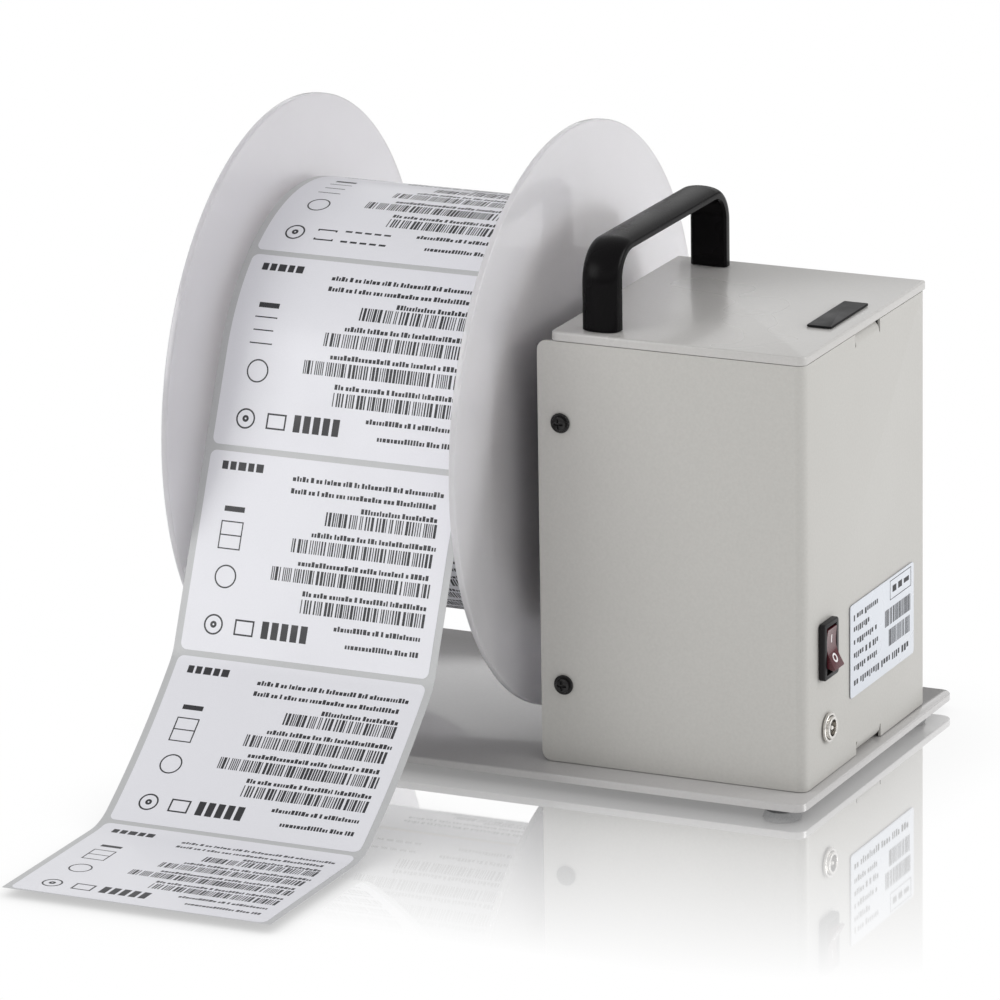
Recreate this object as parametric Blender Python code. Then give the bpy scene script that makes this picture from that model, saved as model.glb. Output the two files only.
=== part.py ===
"""Label rewinder: a motor in a bent steel housing turns a spindle that winds a strip of labels
between two translucent flanges.

Design axes, in metres: +X runs along the spindle from the roll towards the housing, -Y is the
front, +Z is up. X is zero at the cover's left edge, Y on the spindle, Z on the floor. A parent
empty then moves the whole part so that its box is centred over the origin.
"""

import math

import bmesh
import bpy
import numpy as np

# clearances and overruns
SEAT_GAP = 0.0003
RUNNING_GAP = 0.0003
CUT_OVERRUN = 0.002
FINE_EDGE = 0.0005

# smoothness of round pieces, as counts
FLANGE_STEPS = 72
ROLL_STEPS = 56
ROUND_STEPS = 28
SMALL_STEPS = 14
HIDDEN_STEPS = 20
ARC_STEPS = 4

# base plate and feet
FOOT_HEIGHT = 0.004
FOOT_RADIUS = 0.008
FOOT_TOE_RADIUS = 0.0068
FOOT_RECESS_RADIUS = 0.003
FOOT_RECESS_DEPTH = 0.0015
FOOT_INSET = 0.015
BASE_THICKNESS = 0.0033
BASE_LEFT_REACH = 0.1357
BASE_RIGHT_LEDGE = 0.0047
BASE_FRONT_LEDGE = 0.0148
BASE_BACK_LEDGE = 0.0195
BASE_CORNER_RADIUS = 0.005

# housing cover: one sheet bent round the front, the right and the back
COVER_WIDTH = 0.1152
COVER_DEPTH = 0.1287
HOUSING_HEIGHT = 0.1801
COVER_SHEET = 0.0012
COVER_BEND_RADIUS = 0.004
COVER_CORNER_RADIUS = 0.004
TAB_FRONT_Y = -0.0104
TAB_LENGTH = 0.0246
TAB_RELIEF = 0.0008
TAB_BEND_RADIUS = 0.0048
TAB_REACH = 0.0125
RELIEF_EXTRA = 0.0006

# lid: a shallow folded tray
LID_LEFT_INSET = 0.0056
LID_LIP = 0.0036
LID_SHEET = 0.0012
LID_CORNER_RADIUS = 0.003
LID_EDGE_RADIUS = 0.0009
BADGE_LENGTH = 0.0395
BADGE_WIDTH = 0.0106
BADGE_THICKNESS = 0.0008
BADGE_X = 0.1036
BADGE_Y = -0.0015
BADGE_CORNER_RADIUS = 0.0004

# left side frame: a folded plate that carries the bearings
FRAME_SHEET = 0.0015
FRAME_FLANGE = 0.014
FRAME_BEND_RADIUS = 0.0025
FRAME_FOOT_SPAN = 0.096
FRAME_HOLE_RADIUS = 0.0135

# carrying handle
HANDLE_X = 0.0244
HANDLE_WIDTH = 0.0166
HANDLE_THICKNESS = 0.0078
HANDLE_INSET = 0.0068
HANDLE_INNER_HEIGHT = 0.0308
HANDLE_INNER_RADIUS = 0.0095
HANDLE_EDGE = 0.0009
HANDLE_CROWN_SHARE = 0.8
HANDLE_CROWN_POINTS = 11
HANDLE_BEND_POINTS = 8
HANDLE_SCREW_DEPTH = 0.012

# screws
SCREW_SHANK_RADIUS = 0.0015
SCREW_HEAD_RADIUS = 0.003
SCREW_HEAD_HEIGHT = 0.0018
SCREW_WASHER_RADIUS = 0.0041
SCREW_WASHER_THICKNESS = 0.0007
SCREW_LENGTH = 0.008
SCREW_X = 0.01005
SCREW_UPPER_HEIGHT = 0.1427
SCREW_LOWER_HEIGHT = 0.0333
HANDLE_SCREW_SHANK_RADIUS = 0.0021
HANDLE_SCREW_HEAD_RADIUS = 0.004
HANDLE_SCREW_HEAD_HEIGHT = 0.0028
BLOCK_SCREW_CIRCLE = 0.0225
SCREW_SHOULDER_HEIGHT_SHARE = 0.85
SCREW_SHOULDER_RADIUS_SHARE = 0.75
SCREW_CROWN_RADIUS_SHARE = 0.4
RECESS_DEPTH = 0.0009
RECESS_WIDTH = 0.0007
RECESS_LENGTH = 0.0034

# spindle, flanges and roll
AXIS_HEIGHT_OVER_BASE = 0.1279
FLANGE_RADIUS = 0.120
FLANGE_THICKNESS = 0.0028
FLANGE_TO_COVER = 0.0109
FLANGE_SPACE = 0.1242
FLANGE_HUB_RADIUS = 0.028
FLANGE_HUB_PLATE = 0.003
HUB_BOSS_RADIUS = 0.014
HUB_FILLET = 0.003
OUTER_HUB_LENGTH = 0.015
INNER_HUB_LENGTH = 0.0122
SHAFT_RADIUS = 0.006
SHAFT_TAIL = 0.004
SHAFT_END_LENGTH = 0.013
BEARING_SEAT_RADIUS = 0.005
MANDREL_RADIUS = 0.0378
MANDREL_WALL = 0.003
MANDREL_PLATE = 0.005
MANDREL_HUB_RADIUS = 0.012
MANDREL_SHORT_OF_FLANGE = 0.003
CORE_WALL = 0.004
ROLL_RADIUS = 0.086
WEB_WIDTH = 0.116
WEB_THICKNESS = 0.0005

# path of the label web, wound over the roll and hanging to the floor in front
WEB_START_ANGLE = math.radians(38.0)
WEB_LEAVE_ANGLE = math.radians(66.7)
WEB_FIRST_BEND_ANGLE = math.radians(43.5)
WEB_SLOPE_END_ANGLE = math.radians(32.0)
WEB_FIRST_BEND_LENGTH = 0.008
WEB_SLOPE_LENGTH = 0.072
WEB_SECOND_BEND_LENGTH = 0.016
WEB_TAIL_LENGTH = 0.0735
WEB_TAIL_HEIGHT = 0.0037
WEB_PATH_STEPS = 96

# thumb screw that locks the outer flange
LOCK_KNOB_RADIUS = 0.0055
LOCK_KNOB_HEIGHT = 0.009
LOCK_KNOB_LOBES = 12
LOCK_KNOB_LOBE_DEPTH = 0.0005
LOCK_NECK_RADIUS = 0.003
LOCK_NECK_HEIGHT = 0.0018
LOCK_KNOB_EDGE_SHARE = 0.9
LOCK_FROM_END = 0.0056

# bearings and their block
BEARING_RADIUS = 0.013
BEARING_WIDTH = 0.008
BEARING_GROOVE_DEPTH = 0.0006
BEARING_RACE = 0.0024
BLOCK_FLANGE_RADIUS = 0.028
BLOCK_FLANGE_THICKNESS = 0.004
BLOCK_BOSS_RADIUS = 0.0175
BLOCK_LENGTH = 0.0285
BLOCK_LIP_RADIUS = 0.0095
BLOCK_LIP = 0.0015

# drive train
GEAR_MODULE = 0.00125
SPINDLE_TEETH = 48
PINION_TEETH = 16
GEAR_WIDTH = 0.008
GEAR_BACKLASH = 0.00035
GEAR_HUB_RADIUS = 0.011
GEAR_HUB_LENGTH = 0.005
GEAR_WEB_THICKNESS = 0.004
GEAR_RIM = 0.004
GEAR_START_X = 0.039
GEAR_HOLE_COUNT = 6
GEAR_HOLE_RADIUS = 0.0045
COLLAR_RADIUS = 0.009
COLLAR_WIDTH = 0.005
PRESSURE_ANGLE = math.radians(20.0)
TOOTH_ROOT_SHARE = 1.25
FLANK_POINTS = 3
MOTOR_SHAFT_RADIUS = 0.003
GEARBOX_RADIUS = 0.0185
GEARBOX_LENGTH = 0.022
MOTOR_RADIUS = 0.0175
MOTOR_LENGTH = 0.031
MOTOR_BOSS_RADIUS = 0.006
MOTOR_BOSS_LENGTH = 0.0015
BRACKET_X = 0.050
BRACKET_SHEET = 0.002
BRACKET_WIDTH = 0.048
BRACKET_FLANGE = 0.012
BRACKET_FOOT = 0.026
BRACKET_OVER_MOTOR = 0.022
BRACKET_BEND_RADIUS = 0.003

# switch and power inlet on the right wall
SWITCH_FROM_FRONT = 0.02065
SWITCH_HEIGHT = 0.0549
BEZEL_WIDTH = 0.0150
BEZEL_HEIGHT = 0.0236
BEZEL_THICKNESS = 0.0026
BEZEL_CORNER_RADIUS = 0.0016
BEZEL_CHAMFER = 0.0005
SWITCH_BODY_WIDTH = 0.0124
SWITCH_BODY_HEIGHT = 0.0206
SWITCH_BODY_DEPTH = 0.015
SWITCH_WALL = 0.0010
ROCKER_WIDTH = 0.0094
ROCKER_HALF_HEIGHT = 0.0082
ROCKER_END_RISE = 0.0042
ROCKER_MIDDLE_RISE = 0.0022
ROCKER_DEPTH = 0.0038
ROCKER_BACK_HALF_HEIGHT = 0.005
ROCKER_TILT = math.radians(11.0)
ROCKER_AXIS_BEHIND_FACE = 0.0023
POCKET_HALF_HEIGHT = 0.0098
POCKET_DEPTH = 0.0090
TERMINAL_LENGTH = 0.007
TERMINAL_WIDTH = 0.0048
TERMINAL_THICKNESS = 0.0008
TERMINAL_SPACING = 0.007
JACK_FROM_FRONT = 0.02255
JACK_HEIGHT = 0.0213
JACK_NUT_RADIUS = 0.0062
JACK_NUT_THICKNESS = 0.0014
JACK_BARREL_RADIUS = 0.0046
JACK_BORE_RADIUS = 0.0032
JACK_BORE_DEPTH = 0.0095
JACK_PIN_RADIUS = 0.0010
JACK_BODY_RADIUS = 0.0055
JACK_BODY_DEPTH = 0.013
JACK_PROUD = 0.0010
LABEL_LENGTH = 0.0682
LABEL_HEIGHT = 0.0390
LABEL_THICKNESS = 0.0004
LABEL_MIDDLE_Y = 0.0155
LABEL_MIDDLE_HEIGHT = 0.0455
LABEL_CORNER_RADIUS = 0.0015

# control board
BOARD_X = 0.096
BOARD_TO_COVER = 0.0092
BOARD_BEFORE_TAB = 0.0136
BOARD_WIDTH = 0.026
BOARD_THICKNESS = 0.0016
STANDOFF_RADIUS = 0.0027
STANDOFF_HEIGHT = 0.006
STANDOFF_INSET = 0.004
BOARD_HOLE_RADIUS = 0.0016
CAPACITOR_RADIUS = 0.006
CAPACITOR_HEIGHT = 0.020
CAPACITOR_ALONG = 0.020
HEATSINK_LENGTH = 0.024
HEATSINK_DEPTH = 0.012
HEATSINK_HEIGHT = 0.018
HEATSINK_FINS = 5
HEATSINK_FIN = 0.0014
HEATSINK_BACK = 0.0025
CONNECTOR_LENGTH = 0.016
CONNECTOR_DEPTH = 0.008
CONNECTOR_HEIGHT = 0.009
CONNECTOR_WALL = 0.001
CONNECTOR_ALONG = -0.026

# places worked out from the sizes above
BASE_TOP = FOOT_HEIGHT + BASE_THICKNESS
AXIS_HEIGHT = BASE_TOP + AXIS_HEIGHT_OVER_BASE
COVER_HALF = COVER_DEPTH / 2
HANDLE_INNER_HALF = COVER_HALF - HANDLE_INSET - HANDLE_THICKNESS
LID_TOP = BASE_TOP + HOUSING_HEIGHT
COVER_BOTTOM = BASE_TOP + SEAT_GAP
COVER_TOP = LID_TOP - LID_LIP - SEAT_GAP
INNER_FLANGE_RIGHT = -FLANGE_TO_COVER
INNER_FLANGE_LEFT = INNER_FLANGE_RIGHT - FLANGE_THICKNESS
OUTER_FLANGE_RIGHT = INNER_FLANGE_LEFT - FLANGE_SPACE
OUTER_FLANGE_LEFT = OUTER_FLANGE_RIGHT - FLANGE_THICKNESS
OUTER_HUB_LEFT = OUTER_FLANGE_LEFT - SEAT_GAP - OUTER_HUB_LENGTH
SHAFT_LEFT = OUTER_HUB_LEFT - SHAFT_TAIL
ROLL_MIDDLE = (INNER_FLANGE_LEFT + OUTER_FLANGE_RIGHT) / 2
ROLL_LEFT = ROLL_MIDDLE - WEB_WIDTH / 2
ROLL_RIGHT = ROLL_MIDDLE + WEB_WIDTH / 2
CORE_BORE_RADIUS = MANDREL_RADIUS + RUNNING_GAP
CORE_OUTER_RADIUS = CORE_BORE_RADIUS + CORE_WALL
FRAME_LEFT = LID_LEFT_INSET
FRAME_HALF = COVER_HALF - COVER_SHEET - SEAT_GAP
BLOCK_LEFT = FRAME_LEFT + FRAME_SHEET + SEAT_GAP
BLOCK_RIGHT = BLOCK_LEFT + BLOCK_LENGTH
GEAR_HUB_RIGHT = GEAR_START_X + GEAR_WIDTH + GEAR_HUB_LENGTH
SHAFT_RIGHT = GEAR_START_X + GEAR_WIDTH + SHAFT_END_LENGTH
GEAR_CENTRES = GEAR_MODULE * (SPINDLE_TEETH + PINION_TEETH) / 2
MOTOR_HEIGHT = AXIS_HEIGHT - GEAR_CENTRES
BEZEL_FACE = COVER_WIDTH + SEAT_GAP + BEZEL_THICKNESS
SWITCH_Y = -COVER_HALF + SWITCH_FROM_FRONT
JACK_Y = -COVER_HALF + JACK_FROM_FRONT
BASE_LEFT = -BASE_LEFT_REACH
BASE_RIGHT = COVER_WIDTH + BASE_RIGHT_LEDGE
BASE_FRONT = -COVER_HALF - BASE_FRONT_LEDGE
BASE_BACK = COVER_HALF + BASE_BACK_LEDGE
BOARD_FRONT = TAB_FRONT_Y - BOARD_BEFORE_TAB
BOARD_BACK = COVER_HALF - COVER_SHEET - BOARD_TO_COVER
BOARD_LENGTH = BOARD_BACK - BOARD_FRONT
BOARD_Y = (BOARD_FRONT + BOARD_BACK) / 2
BOARD_BOTTOM = BASE_TOP + SEAT_GAP + STANDOFF_HEIGHT + SEAT_GAP
BOARD_TOP = BOARD_BOTTOM + BOARD_THICKNESS

AXES = {"X": (1, 2, 0), "Y": (0, 2, 1), "Z": (0, 1, 2)}


# scene, materials and objects


def clear_scene():
    for old in list(bpy.data.objects):
        bpy.data.objects.remove(old)


def material(name, colour, roughness, metallic=0.0, alpha=1.0):
    finish = bpy.data.materials.new(name)
    finish.use_nodes = True
    shader = finish.node_tree.nodes["Principled BSDF"]
    shader.inputs["Base Color"].default_value = (*colour, 1.0)
    shader.inputs["Roughness"].default_value = roughness
    shader.inputs["Metallic"].default_value = metallic
    shader.inputs["Alpha"].default_value = alpha
    finish.diffuse_color = (*colour, alpha)
    return finish


def empty(name, place, parent=None):
    pivot = bpy.data.objects.new(name, None)
    pivot.location = place
    pivot.parent = parent
    bpy.context.scene.collection.objects.link(pivot)
    return pivot


def solid(name, shape, finish, parent, smooth=False):
    """An object from a bmesh, with its faces turned outwards."""
    bmesh.ops.recalc_face_normals(shape, faces=shape.faces)
    mesh = bpy.data.meshes.new(name)
    shape.to_mesh(mesh)
    shape.free()
    if smooth:
        mesh.shade_smooth()
        mesh.set_sharp_from_angle(angle=math.radians(35.0))
    thing = bpy.data.objects.new(name, mesh)
    thing.parent = parent
    bpy.context.scene.collection.objects.link(thing)
    if finish:
        mesh.materials.append(finish)
    return thing


def boolean(target, operation, name, shape):
    """Cuts a shape from the target, or joins it on. The shape stays in the scene as a hidden guide."""
    tool = solid(name, shape, None, target.parent)
    tool.hide_render = True
    tool.display_type = "WIRE"
    step = target.modifiers.new(name, "BOOLEAN")
    step.operation = operation
    step.solver = "EXACT"
    step.object = tool
    return target


# outlines: lists of points in a plane


def arc(centre, radius, start, end, steps=ARC_STEPS):
    turns = np.linspace(start, end, steps + 1)
    return [(centre[0] + radius * math.cos(t), centre[1] + radius * math.sin(t)) for t in turns]


def circle(radius, steps, centre=(0.0, 0.0)):
    return arc(centre, radius, 0.0, 2 * math.pi * (1 - 1 / steps), steps - 1)


def rounded_rectangle(low, high, radius):
    quarter = math.pi / 2
    corners = [(high[0] - radius, high[1] - radius), (low[0] + radius, high[1] - radius)]
    corners += [(low[0] + radius, low[1] + radius), (high[0] - radius, low[1] + radius)]
    points = []
    for turn, corner in enumerate(corners):
        points += arc(corner, radius, turn * quarter, (turn + 1) * quarter)
    return points


def rectangle(low, high):
    return [low, (high[0], low[1]), high, (low[0], high[1])]


def folded_sheet(path, thickness, outer_radius):
    """The outline of a sheet folded along a path, which runs along its outer face and turns left."""
    points = [np.array(p) for p in path]
    outer, inner = [points[0]], []
    way = (points[1] - points[0]) / np.linalg.norm(points[1] - points[0])
    left = np.array((-way[1], way[0]))
    inner.append(points[0] + left * thickness)
    for before, corner, after in zip(points, points[1:], points[2:]):
        way_in = (corner - before) / np.linalg.norm(corner - before)
        way_out = (after - corner) / np.linalg.norm(after - corner)
        left_in = np.array((-way_in[1], way_in[0]))
        turn = math.atan2(way_in[0] * way_out[1] - way_in[1] * way_out[0], way_in @ way_out)
        back = outer_radius * math.tan(turn / 2)
        centre = corner - way_in * back + left_in * outer_radius
        first = math.atan2(-left_in[1], -left_in[0])
        outer += [np.array(p) for p in arc(centre, outer_radius, first, first + turn)]
        inner_radius = outer_radius - thickness
        inner += [np.array(p) for p in arc(centre, inner_radius, first, first + turn)]
    way = (points[-1] - points[-2]) / np.linalg.norm(points[-1] - points[-2])
    left = np.array((-way[1], way[0]))
    outer.append(points[-1])
    inner.append(points[-1] + left * thickness)
    return outer + inner[::-1]


# solids from outlines


def loft(rings, closed=False):
    """A skin over rings of equal count, capped at both ends, or closed into a ring of rings."""
    shape = bmesh.new()
    rows = [[shape.verts.new(point) for point in ring] for ring in rings]
    pairs = list(zip(rows, rows[1:]))
    if closed:
        pairs.append((rows[-1], rows[0]))
    for one, other in pairs:
        for k in range(len(one)):
            after = (k + 1) % len(one)
            shape.faces.new((one[k], one[after], other[after], other[k]))
    if not closed:
        shape.faces.new(rows[0])
        shape.faces.new(rows[-1])
    return shape


def prism(outline, low, high, axis):
    """An outline carried from low to high along X, Y or Z. It is drawn in the other two axes."""
    first, second, along = AXES[axis]
    rings = np.zeros((2, len(outline), 3))
    rings[:, :, first] = [p[0] for p in outline]
    rings[:, :, second] = [p[1] for p in outline]
    rings[0, :, along] = low
    rings[1, :, along] = high
    return loft(rings)


def together(shapes):
    """Several separate solids as one bmesh, so that one Boolean cuts with them all."""
    joined = bmesh.new()
    for shape in shapes:
        spare = bpy.data.meshes.new("spare")
        shape.to_mesh(spare)
        shape.free()
        joined.from_mesh(spare)
        bpy.data.meshes.remove(spare)
    return joined


def box(low, high):
    return prism(rectangle(low[:2], high[:2]), low[2], high[2], "Z")


def turned(profile, steps=ROUND_STEPS, axis="X", centre=(0.0, 0.0), bored=False):
    """A profile of (place along the axis, radius) turned about a line along X, Y or Z.

    A bored profile is a closed loop that stays off the axis. Another one is capped at both ends.
    """
    first, second, along = AXES[axis]
    turns = np.linspace(0.0, 2 * math.pi, steps, endpoint=False)
    rings = np.zeros((len(profile), steps, 3))
    for ring, (place, radius) in zip(rings, profile):
        ring[:, first] = centre[0] + radius * np.cos(turns)
        ring[:, second] = centre[1] + radius * np.sin(turns)
        ring[:, along] = place
    return loft(rings, closed=bored)


def tube(left, right, outer, inner, steps=ROUND_STEPS, edge=FINE_EDGE):
    profile = [(left, inner), (left, outer - edge), (left + edge, outer)]
    profile += [(right - edge, outer), (right, outer - edge), (right, inner)]
    return turned(profile, steps, bored=True)


def rounded_slab(outline_of, low, high, edge, axis):
    """A plate whose outline draws in by the edge at its far face. outline_of(inset) gives it."""
    first, second, along = AXES[axis]
    rings = []
    for inset, place in ((0.0, low), (0.0, high - edge), (edge * (1 - math.sqrt(0.5)), None), (edge, high)):
        place = high - edge * (1 - math.sqrt(0.5)) if place is None else place
        ring = np.zeros((len(outline_of(0.0)), 3))
        ring[:, [first, second]] = outline_of(inset)
        ring[:, along] = place
        rings.append(ring)
    return loft(rings)


# base


def make_base(root, finishes):
    def outline(inset):
        low = (BASE_LEFT + inset, BASE_FRONT + inset)
        high = (BASE_RIGHT - inset, BASE_BACK - inset)
        return rounded_rectangle(low, high, BASE_CORNER_RADIUS - inset)

    shape = rounded_slab(outline, FOOT_HEIGHT, BASE_TOP, FINE_EDGE, "Z")
    solid("base_plate", shape, finishes["base"], root)
    foot_top = FOOT_HEIGHT - SEAT_GAP
    profile = [(FOOT_RECESS_DEPTH, FOOT_RECESS_RADIUS), (0.0, FOOT_RECESS_RADIUS), (0.0, FOOT_TOE_RADIUS)]
    profile += [(foot_top - FINE_EDGE, FOOT_RADIUS), (foot_top, FOOT_RADIUS - FINE_EDGE)]
    sides = {"left": BASE_LEFT + FOOT_INSET, "right": BASE_RIGHT - FOOT_INSET}
    ends = {"front": BASE_FRONT + FOOT_INSET, "back": BASE_BACK - FOOT_INSET}
    for end, y in ends.items():
        for side, x in sides.items():
            shape = turned(profile, SMALL_STEPS, "Z", (x, y))
            solid(f"foot_{end}_{side}", shape, finishes["foot"], root, smooth=True)


# housing


def tab_outline(root_place, edge_place):
    """A cover tab from the side: down the wall's outer face, round the bend and inwards."""
    wall = COVER_WIDTH
    if edge_place < root_place:
        path = [(wall - TAB_REACH, edge_place), (wall, edge_place), (wall, root_place)]
    else:
        path = [(wall, root_place), (wall, edge_place), (wall - TAB_REACH, edge_place)]
    return folded_sheet(path, COVER_SHEET, TAB_BEND_RADIUS)


def corner_waste(corner_z, inwards):
    """What rounding takes off a left corner of the cover's front and back walls."""
    radius = COVER_CORNER_RADIUS
    out = -CUT_OVERRUN
    middle = (radius, corner_z + inwards * radius)
    curve = arc(middle, radius, math.pi, math.pi + inwards * math.pi / 2)
    beyond = corner_z - inwards * CUT_OVERRUN
    return [(out, beyond), (out, middle[1]), *curve, (radius, beyond)]


def make_cover(root, finishes):
    path = [(0.0, -COVER_HALF), (COVER_WIDTH, -COVER_HALF), (COVER_WIDTH, COVER_HALF), (0.0, COVER_HALF)]
    outline = folded_sheet(path, COVER_SHEET, COVER_BEND_RADIUS)
    shape = prism(outline, COVER_BOTTOM, COVER_TOP, "Z")
    cover = solid("housing_cover", shape, finishes["cover"], root)
    reach = COVER_HALF + CUT_OVERRUN
    for name, corner_z, inwards in (("lower", COVER_BOTTOM, 1), ("upper", COVER_TOP, -1)):
        waste = prism(corner_waste(corner_z, inwards), -reach, reach, "Y")
        boolean(cover, "DIFFERENCE", f"cut_corner_{name}", waste)
    tab_back_y = TAB_FRONT_Y + TAB_LENGTH
    for name, edge, inwards in (("lower", COVER_BOTTOM, 1), ("upper", COVER_TOP, -1)):
        root_place = edge + inwards * TAB_BEND_RADIUS
        notch_end = root_place + inwards * RELIEF_EXTRA
        heights = sorted((edge - inwards * CUT_OVERRUN, notch_end))
        low = (COVER_WIDTH - COVER_SHEET - CUT_OVERRUN, TAB_FRONT_Y - TAB_RELIEF, heights[0])
        high = (COVER_WIDTH + CUT_OVERRUN, tab_back_y + TAB_RELIEF, heights[1])
        boolean(cover, "DIFFERENCE", f"cut_notch_{name}", box(low, high))
        tab = prism(tab_outline(notch_end + inwards * RELIEF_EXTRA, edge), TAB_FRONT_Y, tab_back_y, "Y")
        boolean(cover, "UNION", f"tab_{name}", tab)
    hole = circle(SCREW_SHANK_RADIUS + RUNNING_GAP, SMALL_STEPS)
    for name, height in (("upper", SCREW_UPPER_HEIGHT), ("lower", SCREW_LOWER_HEIGHT)):
        places = [(SCREW_X + a, BASE_TOP + height + b) for a, b in hole]
        boolean(cover, "DIFFERENCE", f"cut_screw_{name}", prism(places, -reach, reach, "Y"))
    inside = COVER_WIDTH - COVER_SHEET - CUT_OVERRUN
    outside = COVER_WIDTH + CUT_OVERRUN
    half_width = SWITCH_BODY_WIDTH / 2 + SEAT_GAP
    half_height = SWITCH_BODY_HEIGHT / 2 + SEAT_GAP
    middle = BASE_TOP + SWITCH_HEIGHT
    low = (SWITCH_Y - half_width, middle - half_height)
    high = (SWITCH_Y + half_width, middle + half_height)
    window = rectangle(low, high)
    boolean(cover, "DIFFERENCE", "cut_switch", prism(window, inside, outside, "X"))
    hole = circle(JACK_BARREL_RADIUS + RUNNING_GAP, SMALL_STEPS, (JACK_Y, BASE_TOP + JACK_HEIGHT))
    boolean(cover, "DIFFERENCE", "cut_jack", prism(hole, inside, outside, "X"))


def make_lid(root, finishes):
    def outline(inset):
        low = (LID_LEFT_INSET + inset, -COVER_HALF + inset)
        high = (COVER_WIDTH - inset, COVER_HALF - inset)
        return rounded_rectangle(low, high, LID_CORNER_RADIUS - inset)

    shape = rounded_slab(outline, LID_TOP - LID_LIP, LID_TOP, LID_EDGE_RADIUS, "Z")
    lid = solid("top_lid", shape, finishes["lid"], root)
    under = prism(outline(LID_SHEET), LID_TOP - LID_LIP - CUT_OVERRUN, LID_TOP - LID_SHEET, "Z")
    boolean(lid, "DIFFERENCE", "cut_tray", under)
    for name, y in handle_screw_places().items():
        hole = circle(HANDLE_SCREW_SHANK_RADIUS + RUNNING_GAP, SMALL_STEPS, (HANDLE_X, y))
        cutter = prism(hole, LID_TOP - LID_SHEET - CUT_OVERRUN, LID_TOP + CUT_OVERRUN, "Z")
        boolean(lid, "DIFFERENCE", f"cut_handle_{name}", cutter)
    low = (BADGE_X - BADGE_WIDTH / 2, BADGE_Y - BADGE_LENGTH / 2)
    high = (BADGE_X + BADGE_WIDTH / 2, BADGE_Y + BADGE_LENGTH / 2)
    shape = prism(
        rounded_rectangle(low, high, BADGE_CORNER_RADIUS),
        LID_TOP + SEAT_GAP,
        LID_TOP + SEAT_GAP + BADGE_THICKNESS,
        "Z",
    )
    solid("lid_badge", shape, finishes["badge"], root)


def make_side_frame(root, finishes):
    right = FRAME_LEFT + FRAME_FLANGE
    path = [(right, FRAME_HALF), (FRAME_LEFT, FRAME_HALF), (FRAME_LEFT, -FRAME_HALF), (right, -FRAME_HALF)]
    outline = folded_sheet(path, FRAME_SHEET, FRAME_BEND_RADIUS)
    bottom = BASE_TOP + SEAT_GAP
    frame = solid("side_frame", prism(outline, bottom, COVER_TOP, "Z"), finishes["frame"], root)
    foot_path = [(FRAME_LEFT, bottom + FRAME_FLANGE), (FRAME_LEFT, bottom), (right, bottom)]
    foot = prism(
        folded_sheet(foot_path, FRAME_SHEET, FRAME_BEND_RADIUS),
        -FRAME_FOOT_SPAN / 2,
        FRAME_FOOT_SPAN / 2,
        "Y",
    )
    boolean(frame, "UNION", "frame_foot", foot)
    through = (FRAME_LEFT - CUT_OVERRUN, FRAME_LEFT + FRAME_SHEET + CUT_OVERRUN)
    hole = circle(FRAME_HOLE_RADIUS, ROUND_STEPS, (0.0, AXIS_HEIGHT))
    boolean(frame, "DIFFERENCE", "cut_spindle", prism(hole, *through, "X"))
    for name, (y, z) in block_screw_places().items():
        hole = circle(SCREW_SHANK_RADIUS + RUNNING_GAP, SMALL_STEPS, (y, AXIS_HEIGHT + z))
        boolean(frame, "DIFFERENCE", f"cut_block_{name}", prism(hole, *through, "X"))
    hole = circle(SCREW_SHANK_RADIUS + RUNNING_GAP, SMALL_STEPS)
    reach = COVER_HALF
    for name, height in (("upper", SCREW_UPPER_HEIGHT), ("lower", SCREW_LOWER_HEIGHT)):
        places = [(SCREW_X + a, BASE_TOP + height + b) for a, b in hole]
        boolean(frame, "DIFFERENCE", f"cut_frame_{name}", prism(places, -reach, reach, "Y"))


# handle and screws


def handle_screw_places():
    middle = HANDLE_INNER_HALF + HANDLE_THICKNESS / 2
    return {"front": -middle, "back": middle}


def handle_section():
    """The handle's cross-section as (across, outwards): a flat inner face and a crowned back."""
    half = HANDLE_WIDTH / 2
    points = [(half - HANDLE_EDGE, 0.0), (half, HANDLE_EDGE)]
    for turn in np.linspace(0.0, math.pi, HANDLE_CROWN_POINTS)[1:-1]:
        lift = HANDLE_THICKNESS - 2 * HANDLE_EDGE
        rise = lift * math.sin(turn) ** HANDLE_CROWN_SHARE
        points.append((half * math.cos(turn), 2 * HANDLE_EDGE + rise))
    points += [(-half, HANDLE_EDGE), (-half + HANDLE_EDGE, 0.0)]
    return points


def handle_path():
    """Points and outward normals along the handle's inner face, from the front leg to the back one."""
    half = HANDLE_INNER_HALF
    bottom = LID_TOP + SEAT_GAP
    corner_z = LID_TOP + HANDLE_INNER_HEIGHT - HANDLE_INNER_RADIUS
    corner_y = half - HANDLE_INNER_RADIUS
    stations = [((-half, bottom), (-1.0, 0.0))]
    for side, first in ((-1, math.pi), (1, math.pi / 2)):
        for turn in np.linspace(first, first - math.pi / 2, HANDLE_BEND_POINTS):
            out = (math.cos(turn), math.sin(turn))
            place = (side * corner_y + HANDLE_INNER_RADIUS * out[0], corner_z + HANDLE_INNER_RADIUS * out[1])
            stations.append((place, out))
    stations.append(((half, bottom), (1.0, 0.0)))
    return stations


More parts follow.
